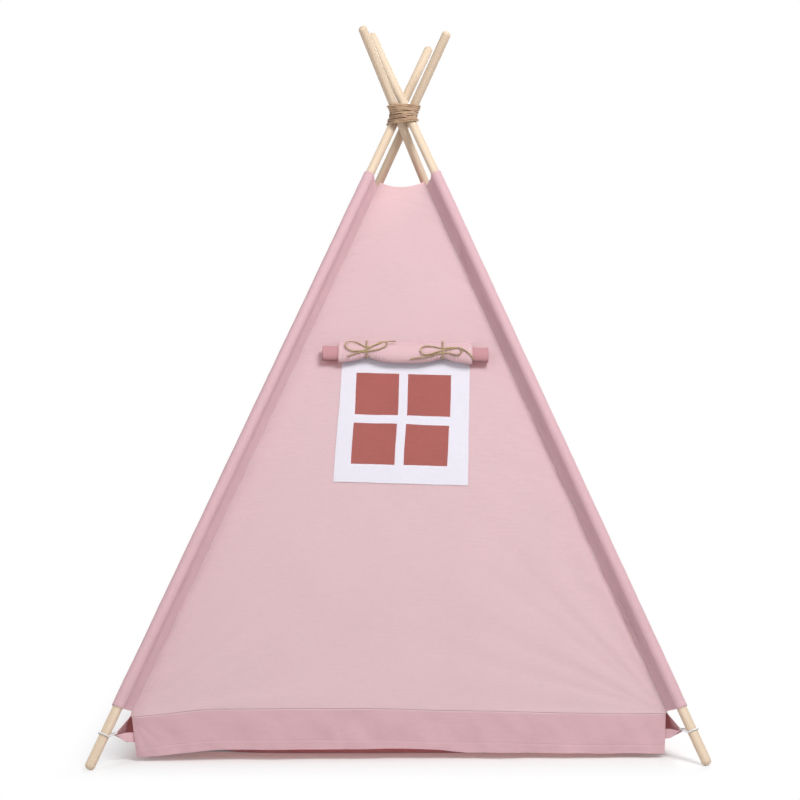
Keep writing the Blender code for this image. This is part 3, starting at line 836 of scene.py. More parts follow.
band = {
    "inset": (0.004, 0.004),
    "taper": (0.010, 0.002),
    "hem": (0.0085, 0.0205, 0.0115, 0.0095),  # heights: left corner, middle, right of it, right corner
    "sideHem": 0.015,
    "sideInset": 0.005,
    "tipHeight": 0.060,
    "tipPast": -0.0085,
    "draw": 9,
    "fold": 0.0042,
    "tuck": 0.004,  # how far its top edge reaches up behind the wall
}
elastic = {"fromFoot": 0.072, "reach": 0.029, "diameter": 0.0034, "clear": 0.0004, "bend": 0.0030}


def cornerTip(k, past):
    pole = poles[k % 4]
    at = pole["foot"] + pole["up"] * elastic["fromFoot"]
    inward = Vector((pole["up"].x, pole["up"].y, 0)).normalized()
    return at + inward * (elastic["reach"] + elastic["diameter"] / 2 + past)


def windowHem(share):
    corner, middle, step, end = band["hem"]
    height = corner + (middle - corner) * fade(share, 0.01, 0.17)
    height += (step - middle) * fade(share, 0.56, 0.64) + (end - step) * fade(share, 0.7, 0.98)
    return height + 0.0017 * ripple(share * 15, 0.4, 8) * fade(share, 0.02, 0.1) * (1 - fade(share, 0.9, 0.99))


def windowBandPattern(u, v):
    left, right = edgesAt(0, 0)
    drop = 1 - v
    left = left + band["inset"][0] + band["taper"][0] * drop
    right = right - band["inset"][1] - band["taper"][1] * drop
    bottom = windowHem(u) - tent["bandSeam"] - seamRise(0, u)
    return left + (right - left) * u, bottom + (band["tuck"] - bottom) * v


def windowBandPlace(x, y):
    left, right = edgesAt(0, 0)
    share = (x - left) / (right - left)
    point = hangWall(0, x, max(y, 0), -cover["tuck"])
    drop = max(0.0, -y)
    lower = drop / 0.08
    fold = 0.55 * math.sin(7 * math.pi * share + 2.2 * lower) ** 2
    fold += 0.9 * ripple(share * 17 - lower * 1.2, 0.3 + lower * 0.5, 1)
    bow = 0.0018 * ripple(share * 30 - lower, lower * 1.5, 6)
    for near, side in ((x - left, 1), (right - x, -1)):
        reach = math.hypot(near, drop)
        turn = math.atan2(drop, near + 0.0001)
        bow += 0.0024 * math.exp(-reach / 0.10) * min(1.0, reach / 0.02) * ripple(turn * 6, side * 3, 2)
    outward = band["fold"] * lower * fold + bow * min(1.0, lower * 4)
    return point + Vector((0, -outward, -drop))


def makeWindowBand():
    left, right = edgesAt(0, 0)
    piece = makeGrid("windowBand", 230, 20, windowBandPattern, windowBandPlace)
    area = flatArea(piece)
    thicken(piece, cover["cloth"])
    # the upper row, just under the seam at nearly full strength, is stitching and also a painted highlight along the
    # seam's lit edge
    stitches = [((left, -0.0019), (right, -0.0019), 0.9), ((left, -0.0645), (right, -0.0645), 0.2)]
    material = cottonFinish("windowBandCotton", cotton["deep"], stitches, "band", crumple=1.4)
    hang(piece, material, "pink_cotton", "window_wall", ["window_band"],
         (right - left, 0.095), "hung", area, squashX)


def makeSideBand(k, name, node):
    left, right = edgesAt(k, 0)
    ends = left + band["sideInset"], right - band["sideInset"]
    deep = tent["bandSeam"] - band["sideHem"]

    def pattern(u, v):
        side = 2 * u - 1
        u = (1 + math.copysign(1 - (1 - abs(side)) ** 1.6, side)) / 2
        bottom = -deep - seamRise(k, u)
        return ends[0] + (ends[1] - ends[0]) * u, bottom + (band["tuck"] - bottom) * v

    def place(x, y):
        share = (x - ends[0]) / (ends[1] - ends[0])
        point = hangWall(k, x, max(y, 0), -cover["tuck"])
        drop = max(0.0, -y) / deep
        outward = Vector((walls[k]["out"].x, walls[k]["out"].y, 0)).normalized()
        side = 2 * share - 1
        free = 1 - abs(side) ** 6
        point += outward * (free * drop * band["fold"] * (0.4 + ripple(share * 17, 0.7, 3 + k)))
        point.z += min(0.0, y) + 0.003 * free * drop * ripple(share * 12, 1, k)
        tip = cornerTip(k if side < 0 else k + 1, band["tipPast"])
        tip.z = band["tipHeight"]
        hung = onWall(k, ends[1] if side > 0 else ends[0], 0)
        hung.z = band["sideHem"]
        return point + (tip - hung) * (drop * abs(side) ** band["draw"])

    piece = makeGrid(name, 200, 16, pattern, place)
    area = flatArea(piece)
    thicken(piece, cover["cloth"])
    stitches = [((left, -0.062), (right, -0.062), 0.2)]
    material = cottonFinish(name + "Cotton", cotton["deep"], stitches, "band", crumple=1.4)
    hang(piece, material, "pink_cotton", bodies[k], [node],
         (ends[1] - ends[0], 0.085), "hung", area, squashY)


makeWindowBand()
makeSideBand(1, "rightBand", "right_band")
makeSideBand(3, "leftBand", "left_band")
print("bands done")

# Door: the fixed top and two curtains that meet in the middle

door = {"topHeight": 0.930, "gap": 0.007, "hem": 0.018, "taper": 0.015, "inset": 0.003}
doorTopLow = (door["topHeight"] - tent["bandSeam"]) / walls[2]["rise"]


def makeDoorTop():
    top = topAt(2, 0.5) + 0.01
    columns, rows = wallCells(2, doorTopLow, top)
    pattern = wallPattern(2, doorTopLow)
    piece = makeGrid("doorTop", columns, rows, pattern, lambda x, y: onWall(2, x, y, reliefAt(2, x, y)))
    area = flatArea(piece)
    thicken(piece, cover["cloth"])
    left, right = edgesAt(2, doorTopLow)
    stitches = edgeRows(2, doorTopLow, top, cover["stitchIn"])
    stitches.append(((left, doorTopLow + 0.008), (right, doorTopLow + 0.008)))
    material = cottonFinish("doorTopCotton", cotton["pink"], stitches)
    hang(piece, material, "pink_cotton", "door_top", ["door_top"],
         (right - left, top - doorTopLow), "stretched", area, squashX)


def makeCurtain(seam, name, node, corner):
    # seam is the end of the door wall that it hangs on: 0 or 1
    sign = 1 if seam else -1
    below = tent["bandSeam"] - door["hem"]
    top = doorTopLow - 0.0008

    def pattern(u, v):
        y = -below + (top + below) * v
        inset = door["inset"]
        if y < 0:
            inset = door["inset"] + (door["taper"] - door["inset"]) * -y / below
        edge = edgesAt(2, max(y, 0))[seam] - sign * inset
        inner = sign * door["gap"] / 2
        return inner + (edge - inner) * u, y

    def place(x, y):
        high = max(y, 0.0)
        edge = abs(edgesAt(2, high)[seam])
        free = 1 - math.exp(-max(0.0, edge - abs(x)) / 0.06)
        hangs = fade(doorTopLow - high, 0.0, 0.25)
        fold = 0.006 * free * hangs * (ripple(x * 6 * (1 + 0.3 * high), high * 0.8, 6.1 + seam) + 0.4)
        curl = 0.003 * math.exp(-abs(x) / 0.03) * hangs * ripple(y * 6, 1, seam)
        point = onWall(2, x, high, reliefAt(2, x, high) * free + fold + curl)
        point.z += y - high
        return point

    columns, rows = wallCells(2, 0, top)
    piece = makeGrid(name, columns // 2, rows, pattern, place)
    area = flatArea(piece)
    thicken(piece, cover["cloth"])
    inner = sign * (door["gap"] / 2 + 0.008)
    outer = edgesAt(2, 0)[seam]
    hem = -below + 0.012
    stitches = [((inner, -below), (inner, top)), ((min(0, outer), hem), (max(0, outer), hem))]
    stitches.append(edgeRows(2, 0, top, cover["stitchIn"] + door["inset"])[seam])
    material = cottonFinish(name + "Cotton", cotton["pink"], stitches)
    pole = poles[corner]
    across = (pole["up"].cross(walls[2]["out"])).normalized()
    anchor = seamAt(corner, 0.5)
    hang(piece, material, "pink_cotton", node, [node], (abs(outer), top + below), "hung", area,
         {"axis": across, "anchor": anchor, "keep": 0.14})


makeDoorTop()
makeCurtain(0, "curtainRight", "curtain_right", 2)
makeCurtain(1, "curtainLeft", "curtain_left", 3)
print("door done")

# Sleeves: a tube of cloth round each pole, pinched towards the corner seam

sleeve = {
    "bottom": (0.113, 0.106, 0.106, 0.106),
    "aboveWall": 0.016,
    "clear": 0.0014,
    "cloth": 0.0009,
    "tip": 0.0009,
    "pinch": 0.48,
    "hemBack": 0.0085,
    "mouthDrop": 0.009,
    "columns": 56,
    "cell": 0.0065,
    "pull": (0.0018, 0.0024, 0.0020, 0.0020),
}


def sleeveOutline(pole):
    # the closed profile as (inwards, across) by the length round it, from the seam and back
    around = pole["radius"] + sleeve["clear"] + sleeve["cloth"] / 2
    apart, tip = tent["seamFromPole"], sleeve["tip"]
    touch = math.acos((around - tip) / apart)
    flank = math.sqrt(apart ** 2 - (around - tip) ** 2)
    lengths = [tip * touch, flank, around * (2 * math.pi - 2 * touch), flank, tip * touch]

    def at(s):
        if s < lengths[0]:
            angle = s / tip
            return apart + tip * math.cos(angle), tip * math.sin(angle), 0.0
        s -= lengths[0]
        if s < lengths[1]:
            share = s / flank
            x = (apart + tip * math.cos(touch)) * (1 - share) + around * math.cos(touch) * share
            y = tip * math.sin(touch) * (1 - share) + around * math.sin(touch) * share
            return x, y, share
        s -= lengths[1]
        if s < lengths[2]:
            angle = touch + s / around
            return around * math.cos(angle), around * math.sin(angle), 1.0
        s -= lengths[2]
        if s < lengths[3]:
            share = 1 - s / flank
            x = (apart + tip * math.cos(touch)) * (1 - share) + around * math.cos(touch) * share
            y = -(tip * math.sin(touch) * (1 - share) + around * math.sin(touch) * share)
            return x, y, share
        s -= lengths[3]
        angle = s / tip - touch
        return apart + tip * math.cos(angle), tip * math.sin(angle), 0.0

    return sum(lengths), at


def makeSleeve(k):
    pole = poles[k]
    total, outline = sleeveOutline(pole)
    around = pole["radius"] + sleeve["clear"] + sleeve["cloth"] / 2
    bottom = (sleeve["bottom"][k] - pole["foot"].z) / pole["up"].z
    top = (tent["tops"][k] + sleeve["aboveWall"] - pole["foot"].z) / pole["up"].z
    pull = sleeve["pull"][k]

    def pattern(u, v):
        return total * u, top - bottom if v == 1 else (top - bottom) * v

    def place(s, t):
        x, y, share = outline(min(s, total))
        side = math.copysign(1, y)
        flank = math.sin(math.pi * share) if share < 1 else 0.0
        inwards = max(0.0, x) / tent["seamFromPole"]
        start = bottom + sleeve["hemBack"] * inwards
        end = top - sleeve["mouthDrop"] * inwards
        z = start + (end - start) * t / (top - bottom)
        # pulls cross the flank at a slant, and the cloth is drawn in between pole and seam
        phase = (share * 0.036 * math.cos(0.55) - side * z * math.sin(0.55)) / 0.0085
        twist = math.sin(2 * math.pi * phase + 2.2 * ripple(z * 9, side, k))
        twist *= 0.55 + 0.45 * ripple(z * 5, 3, k * 2 + side)
        loose = ripple(z * 14, x * 30 * side, 7 + k) + 0.5 * ripple(z * 40, x * 60 * side, 3 + k)
        draw = 1 - sleeve["pinch"] * flank * (0.85 + 0.25 * ripple(z * 7, side * 2, k))
        y = y * draw + side * flank * pull * (0.55 * twist + 0.8 * loose)
        if abs(x) < around and math.hypot(x, y) < around:
            y = side * math.sqrt(around ** 2 - x ** 2)
        if share >= 1:
            swell = 0.0006 * (0.5 + loose)
            norm = math.hypot(x, y)
            x, y = x + x / norm * swell, y + y / norm * swell
        return pole["foot"] + pole["inward"] * x + pole["across"] * y + pole["up"] * z

    name, corner = cornerName("sleeve", k), tent["corners"][k]
    piece = makeGrid(name, sleeve["columns"], int((top - bottom) / sleeve["cell"]), pattern, place)
    area = flatArea(piece)
    weld(piece, 0.00005)
    thicken(piece, sleeve["cloth"], middle=lambda point: onPole(k, point.z))
    length = top - bottom
    stitches = [((s, 0), (s, length), 0.3) for s in (0.0045, total - 0.0045)]
    stitches += [((0, z), (total, z), 0.2) for z in (0.009, length - 0.009)]
    material = cottonFinish(name + "Cotton", cotton["deep"], stitches, "sleeve", crumple=1.3)
    finishPiece(piece, material, "pink_cotton", "pole_" + corner, ["sleeve_" + corner])
    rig.sheet(piece, flat=(total, length), held="stretched", area=area * 0.999, rests_on=["pole_" + corner])


for k in range(4):
    makeSleeve(k)
print("sleeves done")

# Window: a white frame sewn round the hole, with a cross bar each way

window = {
    "pane": (0.092, 0.096),
    "bar": 0.019,
    "border": 0.0385,
    "cloth": 0.0010,
    "lift": 0.0012,
    "cell": 0.0046,
    "wobble": 0.0009,
    "pucker": 0.0004,
    "lowerShift": -0.0048,  # the lower panes sit left of the upper ones
    "leftEdge": (0.0052, -0.0030),  # and the left edge leans: at the top and at the bottom
    "rightEdge": (0.0, -0.0010),
}


def windowDrift(a, b):
    # where a point of the square pattern really lies
    low = fade(-b, -0.05, 0.10)
    shift = window["lowerShift"] * low - 0.0018
    for side, (top, bottom) in ((-1, window["leftEdge"]), (1, window["rightEdge"])):
        edge = fade(side * a, 0.104, 0.138)
        shift += (top + (bottom - top) * fade(-b, -0.14, 0.14) - shift) * edge
    inner = 1 - fade(abs(a), 0.104, 0.138)
    lift = -0.0022 * fade(-b, -0.02, 0.02) * (1 - fade(-b, 0.03, 0.09)) * fade(a, 0, 0.05) * inner
    lift += 0.0030 * fade(-b, 0.06, 0.105) * (1 - fade(-b, 0.11, 0.135)) * inner
    return a + shift, b + lift


def windowLines(pane):
    # places of the grid lines over the border, the panes and the bar
    inner, outer = window["bar"] / 2, window["bar"] / 2 + pane
    stops = [-outer - window["border"], -outer, -inner, inner, outer, outer + window["border"]]
    lines = [stops[0]]
    for low, high in zip(stops, stops[1:]):
        steps = max(3, round((high - low) / window["cell"]))
        lines += [low + (high - low) * (n + 1) / steps for n in range(steps)]
    return lines


def makeWindowFrame():
    across, upward = (windowLines(pane) for pane in window["pane"])
    inner = window["bar"] / 2

    def pattern(u, v):
        return across[round(u * (len(across) - 1))], upward[round(v * (len(upward) - 1))]

    def isPane(a, b):
        width, height = window["pane"]
        return inner < abs(a) < inner + width and inner < abs(b) < inner + height

    def place(a, b):
        wobble = window["wobble"]
        a, b = windowDrift(a, b)
        a, b = a + wobble * ripple(b * 22, a * 9, 3), b + wobble * ripple(a * 22, b * 9, 5)
        x, y = windowToFlat(a, b)
        pucker = window["pucker"] * ripple(a * 60, b * 60, 2)
        return onWall(0, x, y, reliefAt(0, x, y) + cover["cloth"] / 2 + window["lift"] + pucker)

    columns, rows = len(across) - 1, len(upward) - 1
    cutPanes = lambda piece: cutFaces(piece, isPane)
    piece = makeGrid("windowFrame", columns, rows, pattern, place, cutPanes)
    area = flatArea(piece)
    thicken(piece, window["cloth"])
    width, height = -2 * across[0], -2 * upward[0]
    edge, rim = 0.0022, 0.0020
    stitches = []
    for half, other, flip in ((width / 2, height / 2, False), (height / 2, width / 2, True)):
        pane = window["pane"][1] if flip else window["pane"][0]
        cross = window["pane"][0] if flip else window["pane"][1]
        for side in (-1, 1):
            rows = [((side * (half - edge), -other), (side * (half - edge), other))]
            for line in (inner - rim, inner + pane + rim):
                for sign in (-1, 1):
                    low, high = sorted((sign * inner, sign * (inner + cross)))
                    rows.append(((side * line, low), (side * line, high)))
            stitches += [tuple((y, x) for x, y in row) if flip else row for row in rows]
    material = cottonFinish("windowFrameCotton", cotton["white"], stitches, "frame", crumple=0.8)
    hang(piece, material, "white_cotton", "window_wall", ["window_frame"],
         (width, height), "stretched", area, squashX)


makeWindowFrame()
print("window done")

# Blind: a cloth rolled up above the window, the stretch of it that passes over the roll, and its ties

blind = {
    "length": 0.351,
    "radius": 0.018,
    "lift": 0.1455,
    "gap": 0.0015,
    "coverWidth": 0.287,
    "cloth": 0.0016,
    "seamLift": 0.180,
    "ties": (-0.083, 0.080),
    "tieReach": 0.060,
    "tieLift": 0.009,
    "tiePinch": 0.005,
    "knotLift": 0.150,
    "turns": 7,
    "core": 0.0035,
}
twine = {"diameter": 0.0030, "gap": 0.0006, "cadWall": 0.0020, "frameGap": 0.0010, "frameCloth": 0.0016}


def tieCloseness(a):
    return max(max(0.0, 1 - abs(a - place) / blind["tieReach"]) for place in blind["ties"])


def rollRadius(a):
    return blind["radius"] - blind["tiePinch"] * tieCloseness(a) ** 3


def rollCentre(a):
    out = twine["cadWall"] / 2 + twine["frameGap"] + twine["frameCloth"]
    out += 2 * blind["gap"] + blind["cloth"] + blind["radius"]
    return blind["lift"] + blind["tieLift"] * tieCloseness(a) ** 1.5, out


def roundTheRoll(a, angle, radius):
    up, out = rollCentre(a)
    return blindPoint(a, up + radius * math.sin(angle), out + radius * math.cos(angle))


def makeRoll():
    turns, core = blind["turns"], blind["core"]
    pitch = (blind["radius"] - core) / turns
    start = math.radians(-100)

    def pattern(u, v):
        # length of cloth from the core outwards
        angle = u * turns
        return 2 * math.pi * (core * angle + pitch * angle * angle / 2), (v - 0.5) * blind["length"]

    def place(s, y):
        angle = (-core + math.sqrt(core * core + 2 * pitch * s / (2 * math.pi))) / pitch
        radius = (core + pitch * angle) * rollRadius(y) / blind["radius"]
        a = y * (1 + 0.018 * math.sin(angle * 2.1)) if abs(y) > 0.13 else y
        wave = 0.0005 * ripple(angle * 3, y * 30, 2) * angle / turns
        return roundTheRoll(a, start + 2 * math.pi * angle, radius - blind["cloth"] / 2 + wave)

    piece = makeGrid("blindRoll", turns * 36, 70, pattern, place)
    area = flatArea(piece)
    thicken(piece, 0.0010)
    # its darker colour is painted shade on the rolled cloth
    material = cottonFinish("blindRollCotton", cotton["blind"], passes="opaque")
    cut = 2 * math.pi * (core * turns + pitch * turns * turns / 2)
    hang(piece, material, "pink_cotton", "blind", ["blind_roll"],
         (cut, blind["length"]), "folded", area, squashX)


def makeCover():
    begin, end = math.radians(100), math.radians(-150)
    length = math.radians(250) * (blind["radius"] + 0.002)

    def pattern(u, v):
        return (u - 0.5) * blind["coverWidth"], -v * length

    def place(a, y):
        share = -y / length
        close = tieCloseness(a)
        fan = close ** 1.2 * 0.0030 * math.sin(a * 900 + 5 * ripple(a * 40, share * 3, 1))
        fan *= math.sin(math.pi * share)
        soft = 0.0006 * ripple(a * 35, share * 5, 4) * (1 - close)
        radius = rollRadius(a) + blind["gap"] + blind["cloth"] / 2
        return roundTheRoll(a, begin + (end - begin) * share, radius + soft + fan * 0.4)

    piece = makeGrid("blindCover", 160, 40, pattern, place)
    area = flatArea(piece)
    thicken(piece, 0.0011)
    half = blind["coverWidth"] / 2
    stitches = [((-half + 0.006, -length), (-half + 0.006, 0)), ((half - 0.006, -length), (half - 0.006, 0))]
    stitches.append(((-half, -length + 0.006), (half, -length + 0.006)))
    material = cottonFinish("blindCoverCotton", cotton["blindOver"], stitches, "opaque", crumple=1.5)
    hang(piece, material, "pink_cotton", "blind", [], (2 * half, length), "draped", area, squashX)


def makeApron():
    # the stretch between the sewn edge and the roll, which follows the roll down
    up, out = rollCentre(0)
    radius = blind["radius"] + blind["gap"] + blind["cloth"] / 2
    begin = math.radians(100)
    low = (blind["lift"] + radius * math.sin(begin), out + radius * math.cos(begin))
    high = (blind["seamLift"], twine["cadWall"] / 2 + 0.0008)
    length = math.hypot(high[0] - low[0], high[1] - low[1])

    def pattern(u, v):
        return (u - 0.5) * blind["coverWidth"], -v * length

    def place(a, y):
        share = -y / length
        lift, away = rollCentre(a)
        radius = rollRadius(a) + blind["gap"] + blind["cloth"] / 2
        end = (lift + radius * math.sin(begin), away + radius * math.cos(begin))
        sag = 0.10 * math.sin(math.pi * share) * (high[0] - end[0])
        b = high[0] + (end[0] - high[0]) * share - sag
        return blindPoint(a, b, high[1] + (end[1] - high[1]) * share ** 1.6 + 0.0003)

    piece = makeGrid("blindApron", 120, 10, pattern, place)
    area = flatArea(piece)
    thicken(piece, 0.0010)
    half = blind["coverWidth"] / 2
    stitches = [((-half, -0.003), (half, -0.003))]
    material = cottonFinish("blindApronCotton", cotton["blindOver"], stitches, "opaque")
    piece.data.materials.clear()
    piece.data.materials.append(material)
    smooth(piece)
    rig.slot(piece, "pink_cotton")
    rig.replaces(piece, "blind_cover")
    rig.blend(piece, "window_wall", "blind", start=blindPoint(0, *high), end=blindPoint(0, *low))
    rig.sheet(piece, flat=(2 * half, length), held="hung", area=area * 0.999,
             rests_on=["window_wall", "blind_roll"])


makeRoll()
makeCover()
makeApron()
print("blind done")

# Twine: laid of two or three plies, as a lobed tube that turns along its path


def smoothRoute(points, steps):
    ends = [points[0] * 2 - points[1]] + points + [points[-1] * 2 - points[-2]]
    route = []
    for n in range(len(points) - 1):
        p0, p1, p2, p3 = ends[n:n + 4]
        for step in range(steps):
            t = step / steps
            bend = (p0 * 2 - p1 * 5 + p2 * 4 - p3) * t ** 2
            route.append((p1 * 2 + (p2 - p0) * t + bend) / 2 + (p1 * 3 - p0 - p2 * 3 + p3) * (t ** 3 / 2))
    return route + [points[-1]]


def lengthsAlong(points):
    lengths = [0.0]
    for p, q in zip(points, points[1:]):
        lengths.append(lengths[-1] + (q - p).length)
    return lengths


def spaced(points, count):
    # the same route cut into equal steps
    lengths = lengthsAlong(points)
    route, n = [], 0
    for i in range(count + 1):
        at = lengths[-1] * i / count
        while n < len(points) - 2 and lengths[n + 1] < at:
            n += 1
        span = max(1e-9, lengths[n + 1] - lengths[n])
        route.append(points[n].lerp(points[n + 1], min(1.0, (at - lengths[n]) / span)))
    return route


def makeTwine(name, points, diameter, plies=3, lay=0.010, step=0.0011, closed=False, sides=12, depth=0.26):
    # lay is the length of one turn of the plies, and depth how deep the grooves between them are
    total = lengthsAlong(points)[-1]
    count = max(2, round(total / step))
    route = spaced(points, count)
    frames = []
    side = None
    for n, point in enumerate(route):
        if closed:
            ahead = (route[(n + 1) % count] - route[(n - 1) % count]).normalized()
        else:
            ahead = (route[min(n + 1, count)] - route[max(n - 1, 0)]).normalized()
        if side is None:
            side = ahead.orthogonal().normalized()
        side = (side - ahead * side.dot(ahead)).normalized()
        frames.append((point, side.copy(), ahead.cross(side)))
    turns = max(1, round(total / lay))

    def place(s, t):
        n = round(t / total * count)
        point, first, second = frames[n]
        angle = s / (math.pi * diameter) * 2 * math.pi
        lobe = abs(math.cos(plies / 2 * (angle - 2 * math.pi * turns * n / count)))
        radius = diameter / 2 * (1 - depth * (1 - lobe) + 0.05 * ripple(n * 0.21, angle, 3))
        if not closed and min(n, count - n) == 0:
            radius *= 0.45
        return point + first * (radius * math.cos(angle)) + second * (radius * math.sin(angle))

    piece = makeGrid(name, sides, count, lambda u, v: (math.pi * diameter * u, total * v), place)
    if closed:
        weld(piece, 0.0006)
    else:
        weld(piece, 0.00002, fill=True)
    return piece, route, total


# The bows' routes, in metres: right of the knot, up from it, and clear of the covered roll
leftBow = [
    (-0.042, -0.017, 0.001), (-0.031, -0.0125, 0.0015), (-0.02, -0.0085, 0.0015), (-0.01, -0.0055, 0.001),
    (0.0, -0.0038, 0.0006), (0.011, -0.003, 0.001), (0.0225, -0.0014, 0.002), (0.033, 0.0026, 0.003),
    (0.041, 0.008, 0.0036), (0.044, 0.0155, 0.0038), (0.0375, 0.0222, 0.0036), (0.027, 0.0195, 0.0028),
    (0.013, 0.0072, 0.001), (0.0, 0.0, 0.0), (-0.011, -0.003, 0.001), (-0.023, -0.0048, 0.002),
    (-0.035, -0.0035, 0.0035), (-0.044, 0.0025, 0.0045), (-0.0462, 0.0105, 0.005), (-0.0415, 0.018, 0.006),
    (-0.032, 0.0208, 0.006), (-0.02, 0.0168, 0.0035), (-0.0095, 0.0095, 0.0015), (0.0, 0.0052, 0.0),
    (0.011, 0.0072, 0.0015), (0.0225, 0.013, 0.004), (0.034, 0.0205, 0.003), (0.048, 0.0255, -0.004),
    (0.0625, 0.0278, -0.01),
]
rightBow = [
    (-0.0705, -0.021, 0.001), (-0.056, -0.0185, 0.0015), (-0.041, -0.0165, 0.002), (-0.025, -0.013, 0.002),
    (-0.011, -0.008, 0.001), (0.0, -0.005, 0.0006), (0.011, -0.0058, 0.001), (0.022, -0.0092, 0.002),
    (0.0315, -0.0112, 0.003), (0.039, -0.0078, 0.0035), (0.0405, -0.0008, 0.0035), (0.036, 0.0048, 0.003),
    (0.028, 0.0052, 0.002), (0.014, 0.002, 0.001), (0.0, 0.0, 0.0), (-0.012, -0.0038, 0.001),
    (-0.024, -0.009, 0.002), (-0.036, -0.0118, 0.0035), (-0.0455, -0.0082, 0.0045), (-0.048, -0.0005, 0.005),
    (-0.0425, 0.0066, 0.005), (-0.032, 0.0092, 0.003), (-0.015, 0.007, 0.001), (0.0, 0.0048, 0.0),
    (0.013, 0.0056, 0.001), (0.026, 0.0062, 0.002), (0.039, 0.0036, 0.0025), (0.05, -0.0025, 0.002),
    (0.059, -0.011, 0.0015), (0.0665, -0.02, 0.001),
]


def coveredRadius(a):
    return rollRadius(a) + blind["gap"] + blind["cloth"] + twine["gap"]


def makeBow(name, node, middle, route):
    points = []
    for right, lift, clear in route:
        a, b = middle + right, blind["knotLift"] + lift
        up, out = rollCentre(a)
        radius = coveredRadius(a) + twine["diameter"] / 2
        points.append(blindPoint(a, b, out + math.sqrt(max(0.0, radius ** 2 - (b - up) ** 2)) + clear))
    route = smoothRoute(points, 8)
    for _ in range(8):
        route = [route[0]] + [(p + q * 2 + r) / 4 for p, q, r in zip(route, route[1:], route[2:])] + [route[-1]]
    piece, route, total = makeTwine(name, route, twine["diameter"])
    finishPiece(piece, juteFinish(name + "Jute", oldJute), "jute", "blind", [node])
    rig.cord(piece, exit=route[0], length=round(total, 3), diameter=twine["diameter"], far_end="bare",
            stiffness="limp", lay="loose", path=route)
    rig.squash(piece, "frame_fold", **squashX)
    print(name, "length", round(total, 3))


def makeTie(name, node, middle):
    # over the bow's middle and under the roll, from the sewn edge
    start, end, knot = math.radians(112), math.radians(-150), math.radians(-15)
    out = twine["cadWall"] / 2 + twine["gap"] + twine["diameter"] / 2
    points = [blindPoint(middle, blind["seamLift"] + twine["diameter"], out)]
    for n in range(37):
        angle = start + (end - start) * n / 36
        overBow = min(1.0, 2 * max(0.0, math.cos(angle - knot)))
        radius = coveredRadius(middle) + twine["diameter"] / 2 + (twine["diameter"] + twine["gap"]) * overBow
        points.append(roundTheRoll(middle, angle, radius))
    piece, route, total = makeTwine(name, smoothRoute(points, 3), twine["diameter"])
    finishPiece(piece, juteFinish(name + "Jute", oldJute), "jute", "blind", [node])
    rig.squash(piece, "frame_fold", **squashX)


makeBow("blindBowLeft", "blind_bow_left", blind["ties"][0], leftBow)
makeBow("blindBowRight", "blind_bow_right", blind["ties"][1], rightBow)
makeTie("blindTieLeft", "blind_tie_left", blind["ties"][0])
makeTie("blindTieRight", "blind_tie_right", blind["ties"][1])
print("ties done")

# Lashing: an inner layer up the crossing and an outer one down over it, in one twine

lash = {
    "twine": 0.0038,
    "low": -0.0165,
    "high": 0.0225,
    "innerTurns": 8,
    "outerTurns": 12,
    "points": 48,
    "tilt": 0.0025,
    "clear": 0.0008,
}


def loopRound(height, around):
    # evenly spaced points of the outline that a tight twine makes round the four poles
    centres = [onPole(k, height) for k in range(4)]
    points = []
    for n in range(144):
        angle = 2 * math.pi * n / 144
        way = Vector((math.sin(angle), -math.cos(angle), 0))
        far = max(centres, key=lambda c: c.dot(way))
        points.append(far + way * around)
    return spaced(points + [points[0]], lash["points"])[:-1]


def makeLashing():
    low, high = lashHeight + lash["low"], lashHeight + lash["high"]
    inner = poles[0]["radius"] * 1.12 + lash["clear"] + lash["twine"] / 2
    levels = 24
    start, end = low * 0.9 + high * 0.1, low * 0.1 + high * 0.9
    loops = [loopRound(start + (end - start) * n / levels, inner) for n in range(levels + 1)]
    outerAround = inner + lash["twine"] * 0.9
    ends = [loopRound(h, outerAround) for h in (low + 0.006, high - 0.006)]
    for loop, height in zip(ends, (low, high)):
        for point in loop:
            point.z = height
    points = []
    steps = lash["points"]
    for n in range(lash["innerTurns"] * steps):
        share = n / (lash["innerTurns"] * steps)
        at = share * levels
        level = min(levels - 1, int(at))
        points.append(loops[level][n % steps].lerp(loops[level + 1][n % steps], at - level))
    for n in range(lash["outerTurns"] * steps + 6):
        share = 1 - n / (lash["outerTurns"] * steps + 6)
        point = ends[0][n % steps].lerp(ends[1][n % steps], share)
        turn = n // steps
        lean = lash["tilt"] * (0.25 + 1.1 * (1 - share)) * point.x / 0.03
        sway = 0.0011 * math.sin(2 * math.pi * (n % steps) / steps + turn * 1.9)
        sway += 0.0014 * ripple(n * 0.045, turn * 0.7, 1)
        point = point + Vector((0, 0, lean + sway * min(1.0, 4 * share * (1 - share) + 0.25)))
        spread = 1.02 + 0.04 * ripple(n * 0.03, 5, 2)
        points.append(Vector((point.x * spread, point.y * spread, point.z)))
    route = smoothRoute(points, 2)
    piece, route, total = makeTwine("lashing", route, lash["twine"], lay=0.011, step=0.0014, sides=10)
    finishPiece(piece, juteFinish("lashingJute"), "jute", "lashing", ["lashing"])
    print("lashing twine length", round(total, 2))


makeLashing()

# Elastic loops


